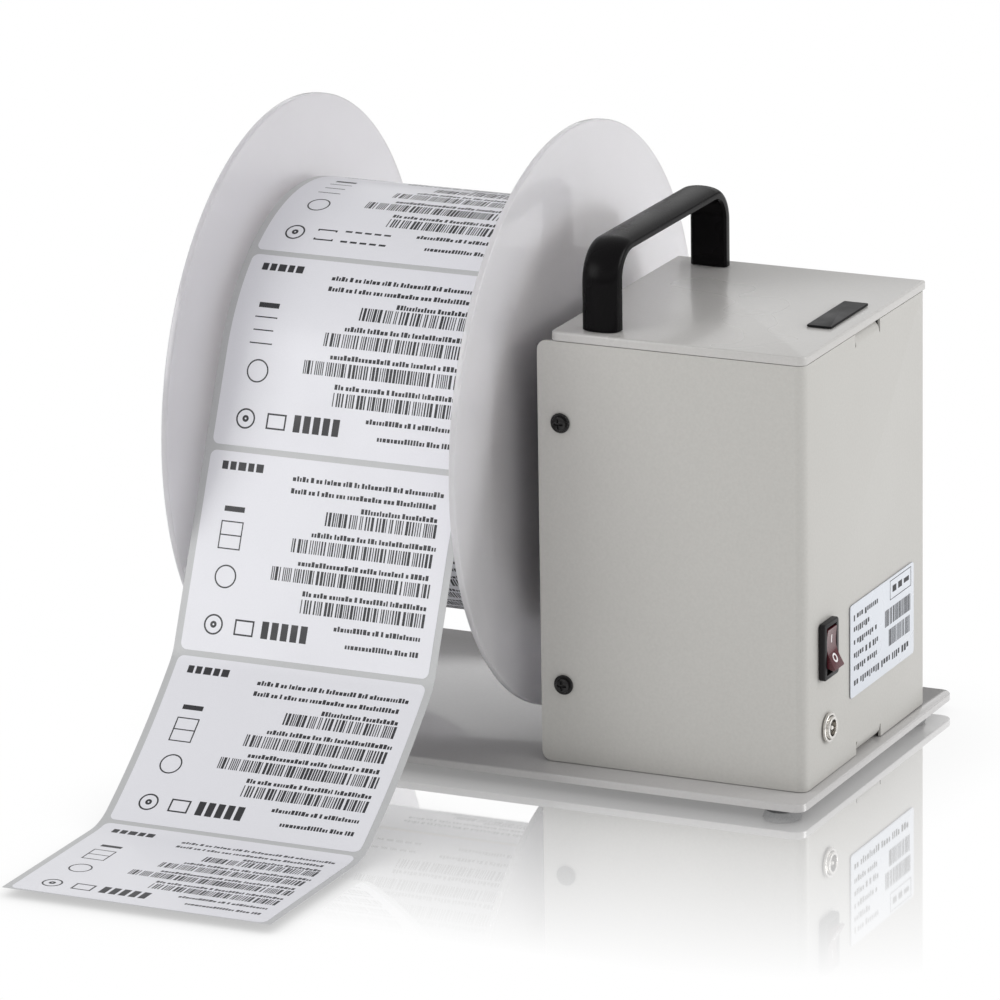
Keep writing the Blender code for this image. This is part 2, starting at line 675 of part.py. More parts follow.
def make_handle(root, finishes):
    section = handle_section()
    rings = []
    for (y, z), (out_y, out_z) in handle_path():
        rings.append([(HANDLE_X + across, y + lift * out_y, z + lift * out_z) for across, lift in section])
    handle = solid("carry_handle", loft(rings), finishes["handle"], root, smooth=True)
    bottom = LID_TOP + SEAT_GAP
    under = LID_TOP - LID_SHEET - SEAT_GAP
    shank = HANDLE_SCREW_SHANK_RADIUS
    for name, y in handle_screw_places().items():
        hole = circle(shank + RUNNING_GAP, SMALL_STEPS, (HANDLE_X, y))
        cutter = prism(hole, bottom - CUT_OVERRUN, bottom + HANDLE_SCREW_DEPTH + RUNNING_GAP, "Z")
        boolean(handle, "DIFFERENCE", f"cut_leg_{name}", cutter)
        head = HANDLE_SCREW_HEAD_RADIUS
        profile = [(under - HANDLE_SCREW_HEAD_HEIGHT, head - FINE_EDGE)]
        profile += [(under - HANDLE_SCREW_HEAD_HEIGHT + FINE_EDGE, head), (under, head), (under, shank)]
        tip = bottom + HANDLE_SCREW_DEPTH
        profile += [(tip - FINE_EDGE, shank), (tip, shank / 2)]
        shape = turned(profile, SMALL_STEPS, "Z", (HANDLE_X, y))
        solid(f"handle_screw_{name}", shape, finishes["screw"], root, smooth=True)


def screw_shape(seat, outwards, centre, axis, washer):
    """A pan-head screw whose head, over its washer, stands on the seat and points outwards."""
    along = [
        (-SCREW_LENGTH, SCREW_SHANK_RADIUS / 2),
        (-SCREW_LENGTH + SCREW_SHANK_RADIUS, SCREW_SHANK_RADIUS),
        (0.0, SCREW_SHANK_RADIUS),
    ]
    top = 0.0
    if washer:
        top = SCREW_WASHER_THICKNESS
        along += [(0.0, SCREW_WASHER_RADIUS), (top, SCREW_WASHER_RADIUS)]
    head = SCREW_HEAD_RADIUS
    crown = SCREW_HEAD_HEIGHT
    shoulder = (top + crown * SCREW_SHOULDER_HEIGHT_SHARE, head * SCREW_SHOULDER_RADIUS_SHARE)
    along += [(top, head), (top + crown / 2, head), shoulder, (top + crown, head * SCREW_CROWN_RADIUS_SHARE)]
    profile = [(seat + outwards * place, radius) for place, radius in along]
    return turned(profile, SMALL_STEPS, axis, centre)


def cross_recess(face, outwards, centre, axis):
    """Two crossed slots in a screw's head, as one outline."""
    wide, long = RECESS_WIDTH / 2, RECESS_LENGTH / 2
    outline = []
    for turn in range(4):
        for a, b in ((wide, wide), (wide, long), (-wide, long)):
            c, s = round(math.cos(turn * math.pi / 2)), round(math.sin(turn * math.pi / 2))
            outline.append((centre[0] + a * c - b * s, centre[1] + a * s + b * c))
    ends = sorted((face - outwards * RECESS_DEPTH, face + outwards * CUT_OVERRUN))
    return prism(outline, *ends, axis)


def make_cover_screws(root, finishes):
    face = COVER_HALF + SEAT_GAP
    for end, outwards in (("front", -1), ("back", 1)):
        for level, height in (("upper", SCREW_UPPER_HEIGHT), ("lower", SCREW_LOWER_HEIGHT)):
            centre = (SCREW_X, BASE_TOP + height)
            name = f"cover_screw_{end}_{level}"
            shape = screw_shape(outwards * face, outwards, centre, "Y", washer=True)
            screw = solid(name, shape, finishes["screw"], root, smooth=True)
            top = face + SCREW_WASHER_THICKNESS + SCREW_HEAD_HEIGHT
            recess = cross_recess(outwards * top, outwards, centre, "Y")
            boolean(screw, "DIFFERENCE", f"cut_recess_{end}_{level}", recess)


def block_screw_places():
    names = ("upper_back", "upper_front", "lower_front", "lower_back")
    half = math.pi / 2
    turns = [half / 2 + k * half for k in range(len(names))]
    radius = BLOCK_SCREW_CIRCLE
    return {n: (radius * math.cos(t), radius * math.sin(t)) for n, t in zip(names, turns)}


def make_block_screws(root, finishes):
    face = FRAME_LEFT - SEAT_GAP
    for name, (y, z) in block_screw_places().items():
        centre = (y, AXIS_HEIGHT + z)
        screw = solid(
            f"block_screw_{name}",
            screw_shape(face, -1, centre, "X", washer=False),
            finishes["screw"],
            root,
            smooth=True,
        )
        recess = cross_recess(face - SCREW_HEAD_HEIGHT, -1, centre, "X")
        boolean(screw, "DIFFERENCE", f"cut_block_recess_{name}", recess)


# bearings, spindle, flanges and roll: made about the spindle axis


def bearing_places():
    first = BLOCK_LEFT + BLOCK_LIP + SEAT_GAP
    second = BLOCK_RIGHT - BLOCK_LIP - SEAT_GAP - BEARING_WIDTH
    return {"outer": first, "inner": second}


def make_bearings(axis, finishes):
    flange, boss = BLOCK_FLANGE_RADIUS, BLOCK_BOSS_RADIUS
    seat = BEARING_RADIUS + RUNNING_GAP
    step = BLOCK_LEFT + BLOCK_FLANGE_THICKNESS
    profile = [(BLOCK_LEFT, seat), (BLOCK_LEFT, flange)]
    profile += [(step - FINE_EDGE, flange), (step, flange - FINE_EDGE)]
    profile += [(step, boss), (BLOCK_RIGHT - FINE_EDGE, boss), (BLOCK_RIGHT, boss - FINE_EDGE)]
    profile += [(BLOCK_RIGHT, BLOCK_LIP_RADIUS), (BLOCK_RIGHT - BLOCK_LIP, BLOCK_LIP_RADIUS)]
    profile += [(BLOCK_RIGHT - BLOCK_LIP, seat)]
    block = solid("bearing_block", turned(profile, bored=True), finishes["block"], axis, smooth=True)
    inside = BLOCK_LEFT - CUT_OVERRUN
    for name, place in block_screw_places().items():
        hole = circle(SCREW_SHANK_RADIUS + RUNNING_GAP, SMALL_STEPS, place)
        cutter = prism(hole, inside, step + CUT_OVERRUN, "X")
        boolean(block, "DIFFERENCE", f"cut_tap_{name}", cutter)
    bore = BEARING_SEAT_RADIUS + RUNNING_GAP
    for name, left in bearing_places().items():
        right = left + BEARING_WIDTH
        ring_out, ring_in = BEARING_RADIUS - BEARING_RACE, bore + BEARING_RACE
        deep = BEARING_GROOVE_DEPTH
        profile = [(left, bore), (left, ring_in), (left + deep, ring_in), (left + deep, ring_out)]
        profile += [(left, ring_out), (left, BEARING_RADIUS), (right, BEARING_RADIUS), (right, bore)]
        shape = turned(profile, HIDDEN_STEPS, bored=True)
        solid(f"bearing_{name}", shape, finishes["bearing"], axis, smooth=True)
    places = bearing_places()
    left, right = places["outer"] + BEARING_WIDTH + SEAT_GAP, places["inner"] - SEAT_GAP
    wall = BEARING_RADIUS - BEARING_RACE
    profile = [(left, wall), (left, BEARING_RADIUS), (right, BEARING_RADIUS), (right, wall)]
    shape = turned(profile, HIDDEN_STEPS, bored=True)
    solid("bearing_spacer", shape, finishes["block"], axis, smooth=True)


def make_spindle(axis, finishes):
    neck = INNER_FLANGE_RIGHT + SEAT_GAP + INNER_HUB_LENGTH
    radius, seat = SHAFT_RADIUS, BEARING_SEAT_RADIUS
    profile = [(SHAFT_LEFT, radius - FINE_EDGE), (SHAFT_LEFT + FINE_EDGE, radius)]
    profile += [(neck, radius), (neck, seat)]
    profile += [(SHAFT_RIGHT - FINE_EDGE, seat), (SHAFT_RIGHT, seat - FINE_EDGE)]
    solid("spindle_shaft", turned(profile), finishes["steel"], axis, smooth=True)
    bore = SHAFT_RADIUS + RUNNING_GAP
    left = OUTER_FLANGE_RIGHT + MANDREL_SHORT_OF_FLANGE
    right = INNER_FLANGE_LEFT - SEAT_GAP
    inside = MANDREL_RADIUS - MANDREL_WALL
    plate = (ROLL_MIDDLE - MANDREL_PLATE / 2, ROLL_MIDDLE + MANDREL_PLATE / 2)
    hub = MANDREL_HUB_RADIUS
    profile = [(left, bore), (left, hub), (plate[0], hub), (plate[0], inside), (left, inside)]
    profile += [(left, MANDREL_RADIUS - FINE_EDGE), (left + FINE_EDGE, MANDREL_RADIUS)]
    profile += [(right, MANDREL_RADIUS), (right, inside), (plate[1], inside), (plate[1], hub)]
    profile += [(right, hub), (right, bore)]
    solid("core_mandrel", turned(profile, bored=True), finishes["hub"], axis, smooth=True)
    core = tube(ROLL_LEFT, ROLL_RIGHT, CORE_OUTER_RADIUS, CORE_BORE_RADIUS)
    solid("paper_core", core, finishes["core"], axis, smooth=True)
    outer = ROLL_RADIUS - WEB_THICKNESS - RUNNING_GAP
    roll = tube(ROLL_LEFT, ROLL_RIGHT, outer, CORE_OUTER_RADIUS + SEAT_GAP, ROLL_STEPS)
    solid("label_roll", roll, finishes["paper"], axis, smooth=True)


def flange_disc(left, right):
    return tube(left, right, FLANGE_RADIUS, SHAFT_RADIUS + RUNNING_GAP, FLANGE_STEPS)


def hub_profile(disc_face, outwards, length):
    """A flange's hub: a plate against the disc, a hollow fillet and a boss round the shaft."""
    start = disc_face + outwards * SEAT_GAP
    plate = start + outwards * FLANGE_HUB_PLATE
    end = disc_face + outwards * (SEAT_GAP + length)
    bore = SHAFT_RADIUS + RUNNING_GAP
    profile = [(start, bore), (start, FLANGE_HUB_RADIUS), (plate - outwards * FINE_EDGE, FLANGE_HUB_RADIUS)]
    profile += [(plate, FLANGE_HUB_RADIUS - FINE_EDGE)]
    for turn in np.linspace(0.0, math.pi / 2, ARC_STEPS + 1):
        away = plate + outwards * HUB_FILLET * (1 - math.cos(turn))
        profile.append((away, HUB_BOSS_RADIUS + HUB_FILLET * (1 - math.sin(turn))))
    profile += [(end - outwards * FINE_EDGE, HUB_BOSS_RADIUS), (end, HUB_BOSS_RADIUS - FINE_EDGE)]
    profile += [(end, bore)]
    return profile


def make_flanges(axis, finishes):
    shape = flange_disc(INNER_FLANGE_LEFT, INNER_FLANGE_RIGHT)
    solid("inner_flange", shape, finishes["flange"], axis, smooth=True)
    profile = hub_profile(INNER_FLANGE_RIGHT, 1, INNER_HUB_LENGTH)
    solid("inner_flange_hub", turned(profile, bored=True), finishes["hub"], axis, smooth=True)
    shape = flange_disc(OUTER_FLANGE_LEFT, OUTER_FLANGE_RIGHT)
    solid("outer_flange", shape, finishes["flange"], axis, smooth=True)
    profile = hub_profile(OUTER_FLANGE_LEFT, -1, OUTER_HUB_LENGTH)
    hub = solid("outer_flange_hub", turned(profile, bored=True), finishes["hub"], axis, smooth=True)
    hole = circle(SCREW_SHANK_RADIUS + 2 * RUNNING_GAP, SMALL_STEPS, (lock_screw_x(), 0.0))
    cutter = prism(hole, BEARING_SEAT_RADIUS, FLANGE_HUB_RADIUS, "Z")
    boolean(hub, "DIFFERENCE", "cut_lock_screw", cutter)


# the thumb screw that locks the outer flange on the shaft


def lock_screw_x():
    return OUTER_HUB_LEFT + LOCK_FROM_END


def make_lock_screw(axis, finishes):
    """The thumb screw stands on the hub's boss, pointing up, made about its own line."""
    pivot = empty("lock_screw_axis", (lock_screw_x(), 0.0, 0.0), axis)
    tip = SHAFT_RADIUS + RUNNING_GAP
    under = HUB_BOSS_RADIUS + SEAT_GAP
    shank = SCREW_SHANK_RADIUS
    bottom, top = under + LOCK_NECK_HEIGHT, under + LOCK_NECK_HEIGHT + LOCK_KNOB_HEIGHT
    profile = [(tip, shank), (under, shank)]
    profile += [(under, LOCK_NECK_RADIUS), (bottom + FINE_EDGE, LOCK_NECK_RADIUS)]
    stem = turned(profile, SMALL_STEPS, "Z")
    screw = solid("lock_screw", stem, finishes["screw"], pivot, smooth=True)
    turns = np.linspace(0.0, 2 * math.pi, 4 * LOCK_KNOB_LOBES, endpoint=False)
    radii = LOCK_KNOB_RADIUS - LOCK_KNOB_LOBE_DEPTH * (1 - np.cos(LOCK_KNOB_LOBES * turns)) / 2
    rings = []
    edge_share = LOCK_KNOB_EDGE_SHARE
    heights = ((edge_share, bottom), (1.0, bottom + FINE_EDGE), (1.0, top - FINE_EDGE), (edge_share, top))
    for share, place in heights:
        places = share * radii
        ring = zip(places * np.cos(turns), places * np.sin(turns))
        rings.append([(x, y, place) for x, y in ring])
    boolean(screw, "UNION", "lock_screw_knob", loft(rings))


# the hanging web of labels


def web_headings():
    """How the web's heading below the horizontal changes: (angle at the start, at the end, length)."""
    on_roll = WEB_LEAVE_ANGLE + math.pi / 2 - WEB_START_ANGLE
    bends = [
        (WEB_LEAVE_ANGLE, WEB_FIRST_BEND_ANGLE, WEB_FIRST_BEND_LENGTH),
        (WEB_FIRST_BEND_ANGLE, WEB_SLOPE_END_ANGLE, WEB_SLOPE_LENGTH),
        (WEB_SLOPE_END_ANGLE, 0.0, WEB_SECOND_BEND_LENGTH),
    ]
    drop = 0.0
    for first, last, length in bends:
        drop += length * (math.cos(last) - math.cos(first)) / (first - last)
    leaves_at = AXIS_HEIGHT + ROLL_RADIUS * math.cos(WEB_LEAVE_ANGLE)
    hang = (leaves_at - WEB_TAIL_HEIGHT - WEB_THICKNESS - drop) / math.sin(WEB_LEAVE_ANGLE)
    start = WEB_START_ANGLE - math.pi / 2
    wound = (start, WEB_LEAVE_ANGLE, on_roll * ROLL_RADIUS)
    straight = (WEB_LEAVE_ANGLE, WEB_LEAVE_ANGLE, hang)
    return [wound, straight, *bends, (0.0, 0.0, WEB_TAIL_LENGTH)]


def web_path():
    """Points on the web's outer face and its headings, by adding up small steps along it."""
    stretches = web_headings()
    total = sum(length for _, _, length in stretches)
    headings, steps = [], []
    for first, last, length in stretches:
        count = max(2, round(WEB_PATH_STEPS * length / total))
        if first == last:
            count = 2
        middles = (np.arange(count) + 1 / 2) / count
        headings += list(first + (last - first) * middles)
        steps += [length / count] * count
    headings, steps = np.array(headings), np.array(steps)
    start = np.array((math.cos(WEB_START_ANGLE), math.sin(WEB_START_ANGLE))) * ROLL_RADIUS
    moves = np.stack([-np.cos(headings), -np.sin(headings)], 1) * steps[:, None]
    points = np.vstack([start, start + np.cumsum(moves, 0)]) + np.array((0.0, AXIS_HEIGHT))
    at_points = np.concatenate([headings[:1], (headings[1:] + headings[:-1]) / 2, headings[-1:]])
    return points, at_points


def make_web(root, finishes):
    points, headings = web_path()
    inwards = np.stack([np.sin(headings), -np.cos(headings)], 1) * WEB_THICKNESS
    outline = [tuple(p) for p in points] + [tuple(p) for p in (points + inwards)[::-1]]
    shape = prism(outline, ROLL_LEFT, ROLL_RIGHT, "X")
    solid("label_web", shape, finishes["paper"], root, smooth=True)


# drive train


def gear_outline(teeth):
    """A spur gear's outline, its flanks the involute of its base circle, thinned for backlash."""
    pitch = GEAR_MODULE * teeth / 2
    base = pitch * math.cos(PRESSURE_ANGLE)
    tip = pitch + GEAR_MODULE
    root = pitch - TOOTH_ROOT_SHARE * GEAR_MODULE

    def involute(radius):
        angle = math.acos(min(1.0, base / radius))
        return math.tan(angle) - angle

    half_tooth = math.pi / (2 * teeth) - GEAR_BACKLASH / (2 * pitch) + involute(pitch)
    radii = np.linspace(max(base, root), tip, FLANK_POINTS)
    points = []
    for tooth in range(teeth):
        middle = 2 * math.pi * tooth / teeth
        rise = [(r, middle - half_tooth + involute(r)) for r in radii]
        fall = [(r, 2 * middle - t) for r, t in rise[::-1]]
        floor = [(root, rise[0][1])] if base > root else []
        back = [(root, fall[-1][1])] if base > root else []
        points += [(r * math.cos(t), r * math.sin(t)) for r, t in floor + rise + fall + back]
    return points


def turned_outline(outline, angle):
    c, s = math.cos(angle), math.sin(angle)
    return [(a * c - b * s, a * s + b * c) for a, b in outline]


def make_gears(spindle, motor, finishes):
    right = GEAR_START_X + GEAR_WIDTH
    shape = prism(gear_outline(SPINDLE_TEETH), GEAR_START_X, right, "X")
    gear = solid("spindle_gear", shape, finishes["gear"], spindle)
    hub = prism(circle(GEAR_HUB_RADIUS, ROUND_STEPS), right - FINE_EDGE, GEAR_HUB_RIGHT, "X")
    boolean(gear, "UNION", "gear_hub", hub)
    rim = GEAR_MODULE * SPINDLE_TEETH / 2 - GEAR_MODULE - GEAR_RIM
    dish = (GEAR_WIDTH - GEAR_WEB_THICKNESS) / 2
    for name, start, end in (
        ("left", GEAR_START_X - CUT_OVERRUN, GEAR_START_X + dish),
        ("right", right - dish, right + CUT_OVERRUN),
    ):
        inner = GEAR_HUB_RADIUS + FINE_EDGE
        ring = turned([(start, inner), (start, rim), (end, rim), (end, inner)], bored=True)
        boolean(gear, "DIFFERENCE", f"cut_dish_{name}", ring)
    middle = (rim + GEAR_HUB_RADIUS) / 2
    holes = [circle(BEARING_SEAT_RADIUS + RUNNING_GAP, ROUND_STEPS)]
    for k in range(GEAR_HOLE_COUNT):
        turn = 2 * math.pi * k / GEAR_HOLE_COUNT
        centre = (middle * math.cos(turn), middle * math.sin(turn))
        holes.append(circle(GEAR_HOLE_RADIUS, SMALL_STEPS, centre))
    ends = (GEAR_START_X - CUT_OVERRUN, GEAR_HUB_RIGHT + CUT_OVERRUN)
    boolean(gear, "DIFFERENCE", "cut_holes", together([prism(hole, *ends, "X") for hole in holes]))
    left = GEAR_HUB_RIGHT + SEAT_GAP
    collar = tube(left, left + COLLAR_WIDTH, COLLAR_RADIUS, BEARING_SEAT_RADIUS + RUNNING_GAP)
    solid("spindle_collar", collar, finishes["steel"], spindle, smooth=True)
    upright = math.pi / 2
    mesh_turn = upright + (math.pi / PINION_TEETH if SPINDLE_TEETH % 2 == 0 else 0.0)
    lower_gap = math.pi / SPINDLE_TEETH if (SPINDLE_TEETH // 2) % 2 else 0.0
    outline = turned_outline(gear_outline(PINION_TEETH), mesh_turn + lower_gap)
    pinion = solid("drive_pinion", prism(outline, GEAR_START_X, right, "X"), finishes["pinion"], motor)
    start = right - FINE_EDGE
    reach = BRACKET_X + BRACKET_SHEET
    spindle_end = prism(circle(MOTOR_SHAFT_RADIUS, SMALL_STEPS), start, reach, "X")
    boolean(pinion, "UNION", "pinion_shaft", spindle_end)


def make_motor(root, motor, finishes):
    face = BRACKET_X + BRACKET_SHEET + SEAT_GAP
    end = face + GEARBOX_LENGTH
    profile = [(face, GEARBOX_RADIUS - FINE_EDGE), (face + FINE_EDGE, GEARBOX_RADIUS)]
    profile += [(end - FINE_EDGE, GEARBOX_RADIUS), (end, GEARBOX_RADIUS - FINE_EDGE)]
    solid("motor_gearbox", turned(profile), finishes["gearbox"], motor, smooth=True)
    start = end + SEAT_GAP
    end = start + MOTOR_LENGTH
    edge = 2 * FINE_EDGE
    profile = [(start, MOTOR_RADIUS), (end - edge, MOTOR_RADIUS), (end, MOTOR_RADIUS - edge)]
    profile += [(end, MOTOR_BOSS_RADIUS), (end + MOTOR_BOSS_LENGTH, MOTOR_BOSS_RADIUS - FINE_EDGE)]
    solid("motor_can", turned(profile), finishes["motor"], motor, smooth=True)
    bottom = BASE_TOP + SEAT_GAP
    top = MOTOR_HEIGHT + BRACKET_OVER_MOTOR
    half = BRACKET_WIDTH / 2
    right = BRACKET_X + BRACKET_FLANGE
    path = [(right, half), (BRACKET_X, half), (BRACKET_X, -half), (right, -half)]
    outline = folded_sheet(path, BRACKET_SHEET, BRACKET_BEND_RADIUS)
    bracket = solid("motor_bracket", prism(outline, bottom, top, "Z"), finishes["frame"], root)
    foot_path = [(BRACKET_X, bottom + BRACKET_FLANGE), (BRACKET_X, bottom)]
    foot_path += [(BRACKET_X + BRACKET_FOOT, bottom)]
    foot = prism(
        folded_sheet(foot_path, BRACKET_SHEET, BRACKET_BEND_RADIUS),
        -half + BRACKET_BEND_RADIUS,
        half - BRACKET_BEND_RADIUS,
        "Y",
    )
    boolean(bracket, "UNION", "bracket_foot", foot)
    hole = circle(MOTOR_SHAFT_RADIUS + 2 * RUNNING_GAP, SMALL_STEPS, (0.0, MOTOR_HEIGHT))
    through = (BRACKET_X - CUT_OVERRUN, BRACKET_X + BRACKET_SHEET + CUT_OVERRUN)
    boolean(bracket, "DIFFERENCE", "cut_motor_shaft", prism(hole, *through, "X"))


# switch, inlet and rating label on the right wall


def make_switch(root, finishes):
    middle = BASE_TOP + SWITCH_HEIGHT
    back = COVER_WIDTH + SEAT_GAP

    def outline(inset):
        half = (BEZEL_WIDTH / 2 - inset, BEZEL_HEIGHT / 2 - inset)
        low = (SWITCH_Y - half[0], middle - half[1])
        high = (SWITCH_Y + half[0], middle + half[1])
        return rounded_rectangle(low, high, BEZEL_CORNER_RADIUS - inset)

    shape = rounded_slab(outline, back, BEZEL_FACE, BEZEL_CHAMFER, "X")
    switch = solid("switch_housing", shape, finishes["switch"], root)
    inside = COVER_WIDTH - SWITCH_BODY_DEPTH
    half_width, half_height = SWITCH_BODY_WIDTH / 2, SWITCH_BODY_HEIGHT / 2
    low = (inside, SWITCH_Y - half_width, middle - half_height)
    high = (back + FINE_EDGE, SWITCH_Y + half_width, middle + half_height)
    boolean(switch, "UNION", "switch_body", box(low, high))
    pocket = BEZEL_FACE - POCKET_DEPTH
    half_width = ROCKER_WIDTH / 2 + RUNNING_GAP
    low = (pocket, SWITCH_Y - half_width, middle - POCKET_HALF_HEIGHT)
    high = (BEZEL_FACE + CUT_OVERRUN, SWITCH_Y + half_width, middle + POCKET_HALF_HEIGHT)
    boolean(switch, "DIFFERENCE", "cut_pocket", box(low, high))
    for k in (-1, 0, 1):
        z = middle + k * TERMINAL_SPACING
        low = (inside - TERMINAL_LENGTH, SWITCH_Y - TERMINAL_WIDTH / 2, z - TERMINAL_THICKNESS / 2)
        high = (inside + SWITCH_WALL, SWITCH_Y + TERMINAL_WIDTH / 2, z + TERMINAL_THICKNESS / 2)
        boolean(switch, "UNION", f"terminal_{k + 2}", box(low, high))


def make_rocker(root, finishes):
    """The rocker is drawn level about its pivot and tilted to rest on its upper stop."""
    place = (BEZEL_FACE - ROCKER_AXIS_BEHIND_FACE, SWITCH_Y, BASE_TOP + SWITCH_HEIGHT)
    pivot = empty("rocker_axis", place, root)
    top, back = ROCKER_HALF_HEIGHT, ROCKER_BACK_HALF_HEIGHT
    outline = [(ROCKER_END_RISE, -top), (ROCKER_MIDDLE_RISE, 0.0), (ROCKER_END_RISE, top)]
    corner = ROCKER_END_RISE - 2 * FINE_EDGE
    outline += [(corner, top + FINE_EDGE), (-ROCKER_DEPTH, back)]
    outline += [(-ROCKER_DEPTH, -back), (corner, -top - FINE_EDGE)]
    tilted = turned_outline(outline, ROCKER_TILT)
    shape = prism(tilted, -ROCKER_WIDTH / 2, ROCKER_WIDTH / 2, "Y")
    solid("power_rocker", shape, finishes["rocker"], pivot)


def make_jack(root, finishes):
    centre = (JACK_Y, BASE_TOP + JACK_HEIGHT)
    face = COVER_WIDTH + SEAT_GAP
    front = face + JACK_NUT_THICKNESS + JACK_PROUD
    inner = COVER_WIDTH - COVER_SHEET - SEAT_GAP
    body, barrel, bore = JACK_BODY_RADIUS, JACK_BARREL_RADIUS, JACK_BORE_RADIUS
    back = inner - JACK_BODY_DEPTH
    profile = [(back, body), (inner, body), (inner, barrel), (front - FINE_EDGE, barrel)]
    profile += [(front, barrel - FINE_EDGE), (front, bore), (front - JACK_BORE_DEPTH, bore)]
    profile += [(front - JACK_BORE_DEPTH, JACK_PIN_RADIUS), (front - FINE_EDGE, JACK_PIN_RADIUS)]
    profile += [(front - FINE_EDGE, JACK_PIN_RADIUS / 2)]
    shape = turned(profile, SMALL_STEPS, "X", centre)
    solid("power_jack", shape, finishes["jack"], root, smooth=True)
    right = face + JACK_NUT_THICKNESS
    hole = barrel + RUNNING_GAP
    edge = FINE_EDGE
    profile = [(face, hole), (face, JACK_NUT_RADIUS), (right - edge, JACK_NUT_RADIUS)]
    profile += [(right, JACK_NUT_RADIUS - edge), (right, hole)]
    shape = turned(profile, ROUND_STEPS, "X", centre, bored=True)
    solid("jack_nut", shape, finishes["nickel"], root, smooth=True)


def make_rating_label(root, finishes):
    middle = BASE_TOP + LABEL_MIDDLE_HEIGHT
    low = (LABEL_MIDDLE_Y - LABEL_LENGTH / 2, middle - LABEL_HEIGHT / 2)
    high = (LABEL_MIDDLE_Y + LABEL_LENGTH / 2, middle + LABEL_HEIGHT / 2)
    start = COVER_WIDTH + SEAT_GAP
    shape = prism(rounded_rectangle(low, high, LABEL_CORNER_RADIUS), start, start + LABEL_THICKNESS, "X")
    solid("rating_label", shape, finishes["sticker"], root)


# control board


def make_board(root, finishes):
    half = (BOARD_WIDTH / 2, BOARD_LENGTH / 2)
    low = (BOARD_X - half[0], BOARD_Y - half[1])
    high = (BOARD_X + half[0], BOARD_Y + half[1])
    board = solid(
        "control_board", prism(rectangle(low, high), BOARD_BOTTOM, BOARD_TOP, "Z"), finishes["board"], root
    )
    floor = BASE_TOP + SEAT_GAP
    peg_top = BOARD_TOP + BOARD_THICKNESS
    shoulder = floor + STANDOFF_HEIGHT
    peg = BOARD_HOLE_RADIUS - RUNNING_GAP
    profile = [(floor, STANDOFF_RADIUS), (shoulder, STANDOFF_RADIUS), (shoulder, peg), (peg_top, peg)]
    for end, y in (("front", low[1] + STANDOFF_INSET), ("back", high[1] - STANDOFF_INSET)):
        for side, x in (("left", low[0] + STANDOFF_INSET), ("right", high[0] - STANDOFF_INSET)):
            hole = circle(BOARD_HOLE_RADIUS, SMALL_STEPS, (x, y))
            cutter = prism(hole, BOARD_BOTTOM - CUT_OVERRUN, BOARD_TOP + CUT_OVERRUN, "Z")
            boolean(board, "DIFFERENCE", f"cut_board_{end}_{side}", cutter)
            shape = turned(profile, SMALL_STEPS, "Z", (x, y))
            solid(f"standoff_{end}_{side}", shape, finishes["brass"], root, smooth=True)
    seat = BOARD_TOP + SEAT_GAP
    top = seat + CAPACITOR_HEIGHT
    can = CAPACITOR_RADIUS
    profile = [(seat, can - FINE_EDGE), (seat + FINE_EDGE, can)]
    profile += [(top - FINE_EDGE, can), (top, can - FINE_EDGE)]
    shape = turned(profile, ROUND_STEPS, "Z", (BOARD_X, BOARD_Y + CAPACITOR_ALONG))
    solid("board_capacitor", shape, finishes["capacitor"], root, smooth=True)
    make_heatsink(root, finishes, seat)
    make_connector(root, finishes, seat)


def make_heatsink(root, finishes, seat):
    """A comb of fins behind the driver chip, extruded upwards."""
    left = BOARD_X - HEATSINK_DEPTH / 2
    right = left + HEATSINK_DEPTH
    start = BOARD_Y - HEATSINK_LENGTH / 2
    pitch = (HEATSINK_LENGTH - HEATSINK_FIN) / (HEATSINK_FINS - 1)
    outline = [(left, start + HEATSINK_LENGTH), (left, start)]
    for k in range(HEATSINK_FINS):
        y = start + k * pitch
        if k:
            outline.append((left + HEATSINK_BACK, y))
        outline += [(right, y), (right, y + HEATSINK_FIN)]
        if k < HEATSINK_FINS - 1:
            outline.append((left + HEATSINK_BACK, y + HEATSINK_FIN))
    solid("driver_heatsink", prism(outline, seat, seat + HEATSINK_HEIGHT, "Z"), finishes["heatsink"], root)


def make_connector(root, finishes, seat):
    y = BOARD_Y + CONNECTOR_ALONG
    low = (BOARD_X - CONNECTOR_DEPTH / 2, y - CONNECTOR_LENGTH / 2, seat)
    high = (BOARD_X + CONNECTOR_DEPTH / 2, y + CONNECTOR_LENGTH / 2, seat + CONNECTOR_HEIGHT)
    shell = solid("board_connector", box(low, high), finishes["connector"], root)
    wall = CONNECTOR_WALL
    low = (low[0] + wall, low[1] + wall, seat + wall)
    high = (high[0] - wall, high[1] - wall, seat + CONNECTOR_HEIGHT + CUT_OVERRUN)
    boolean(shell, "DIFFERENCE", "cut_connector", box(low, high))


# the whole part


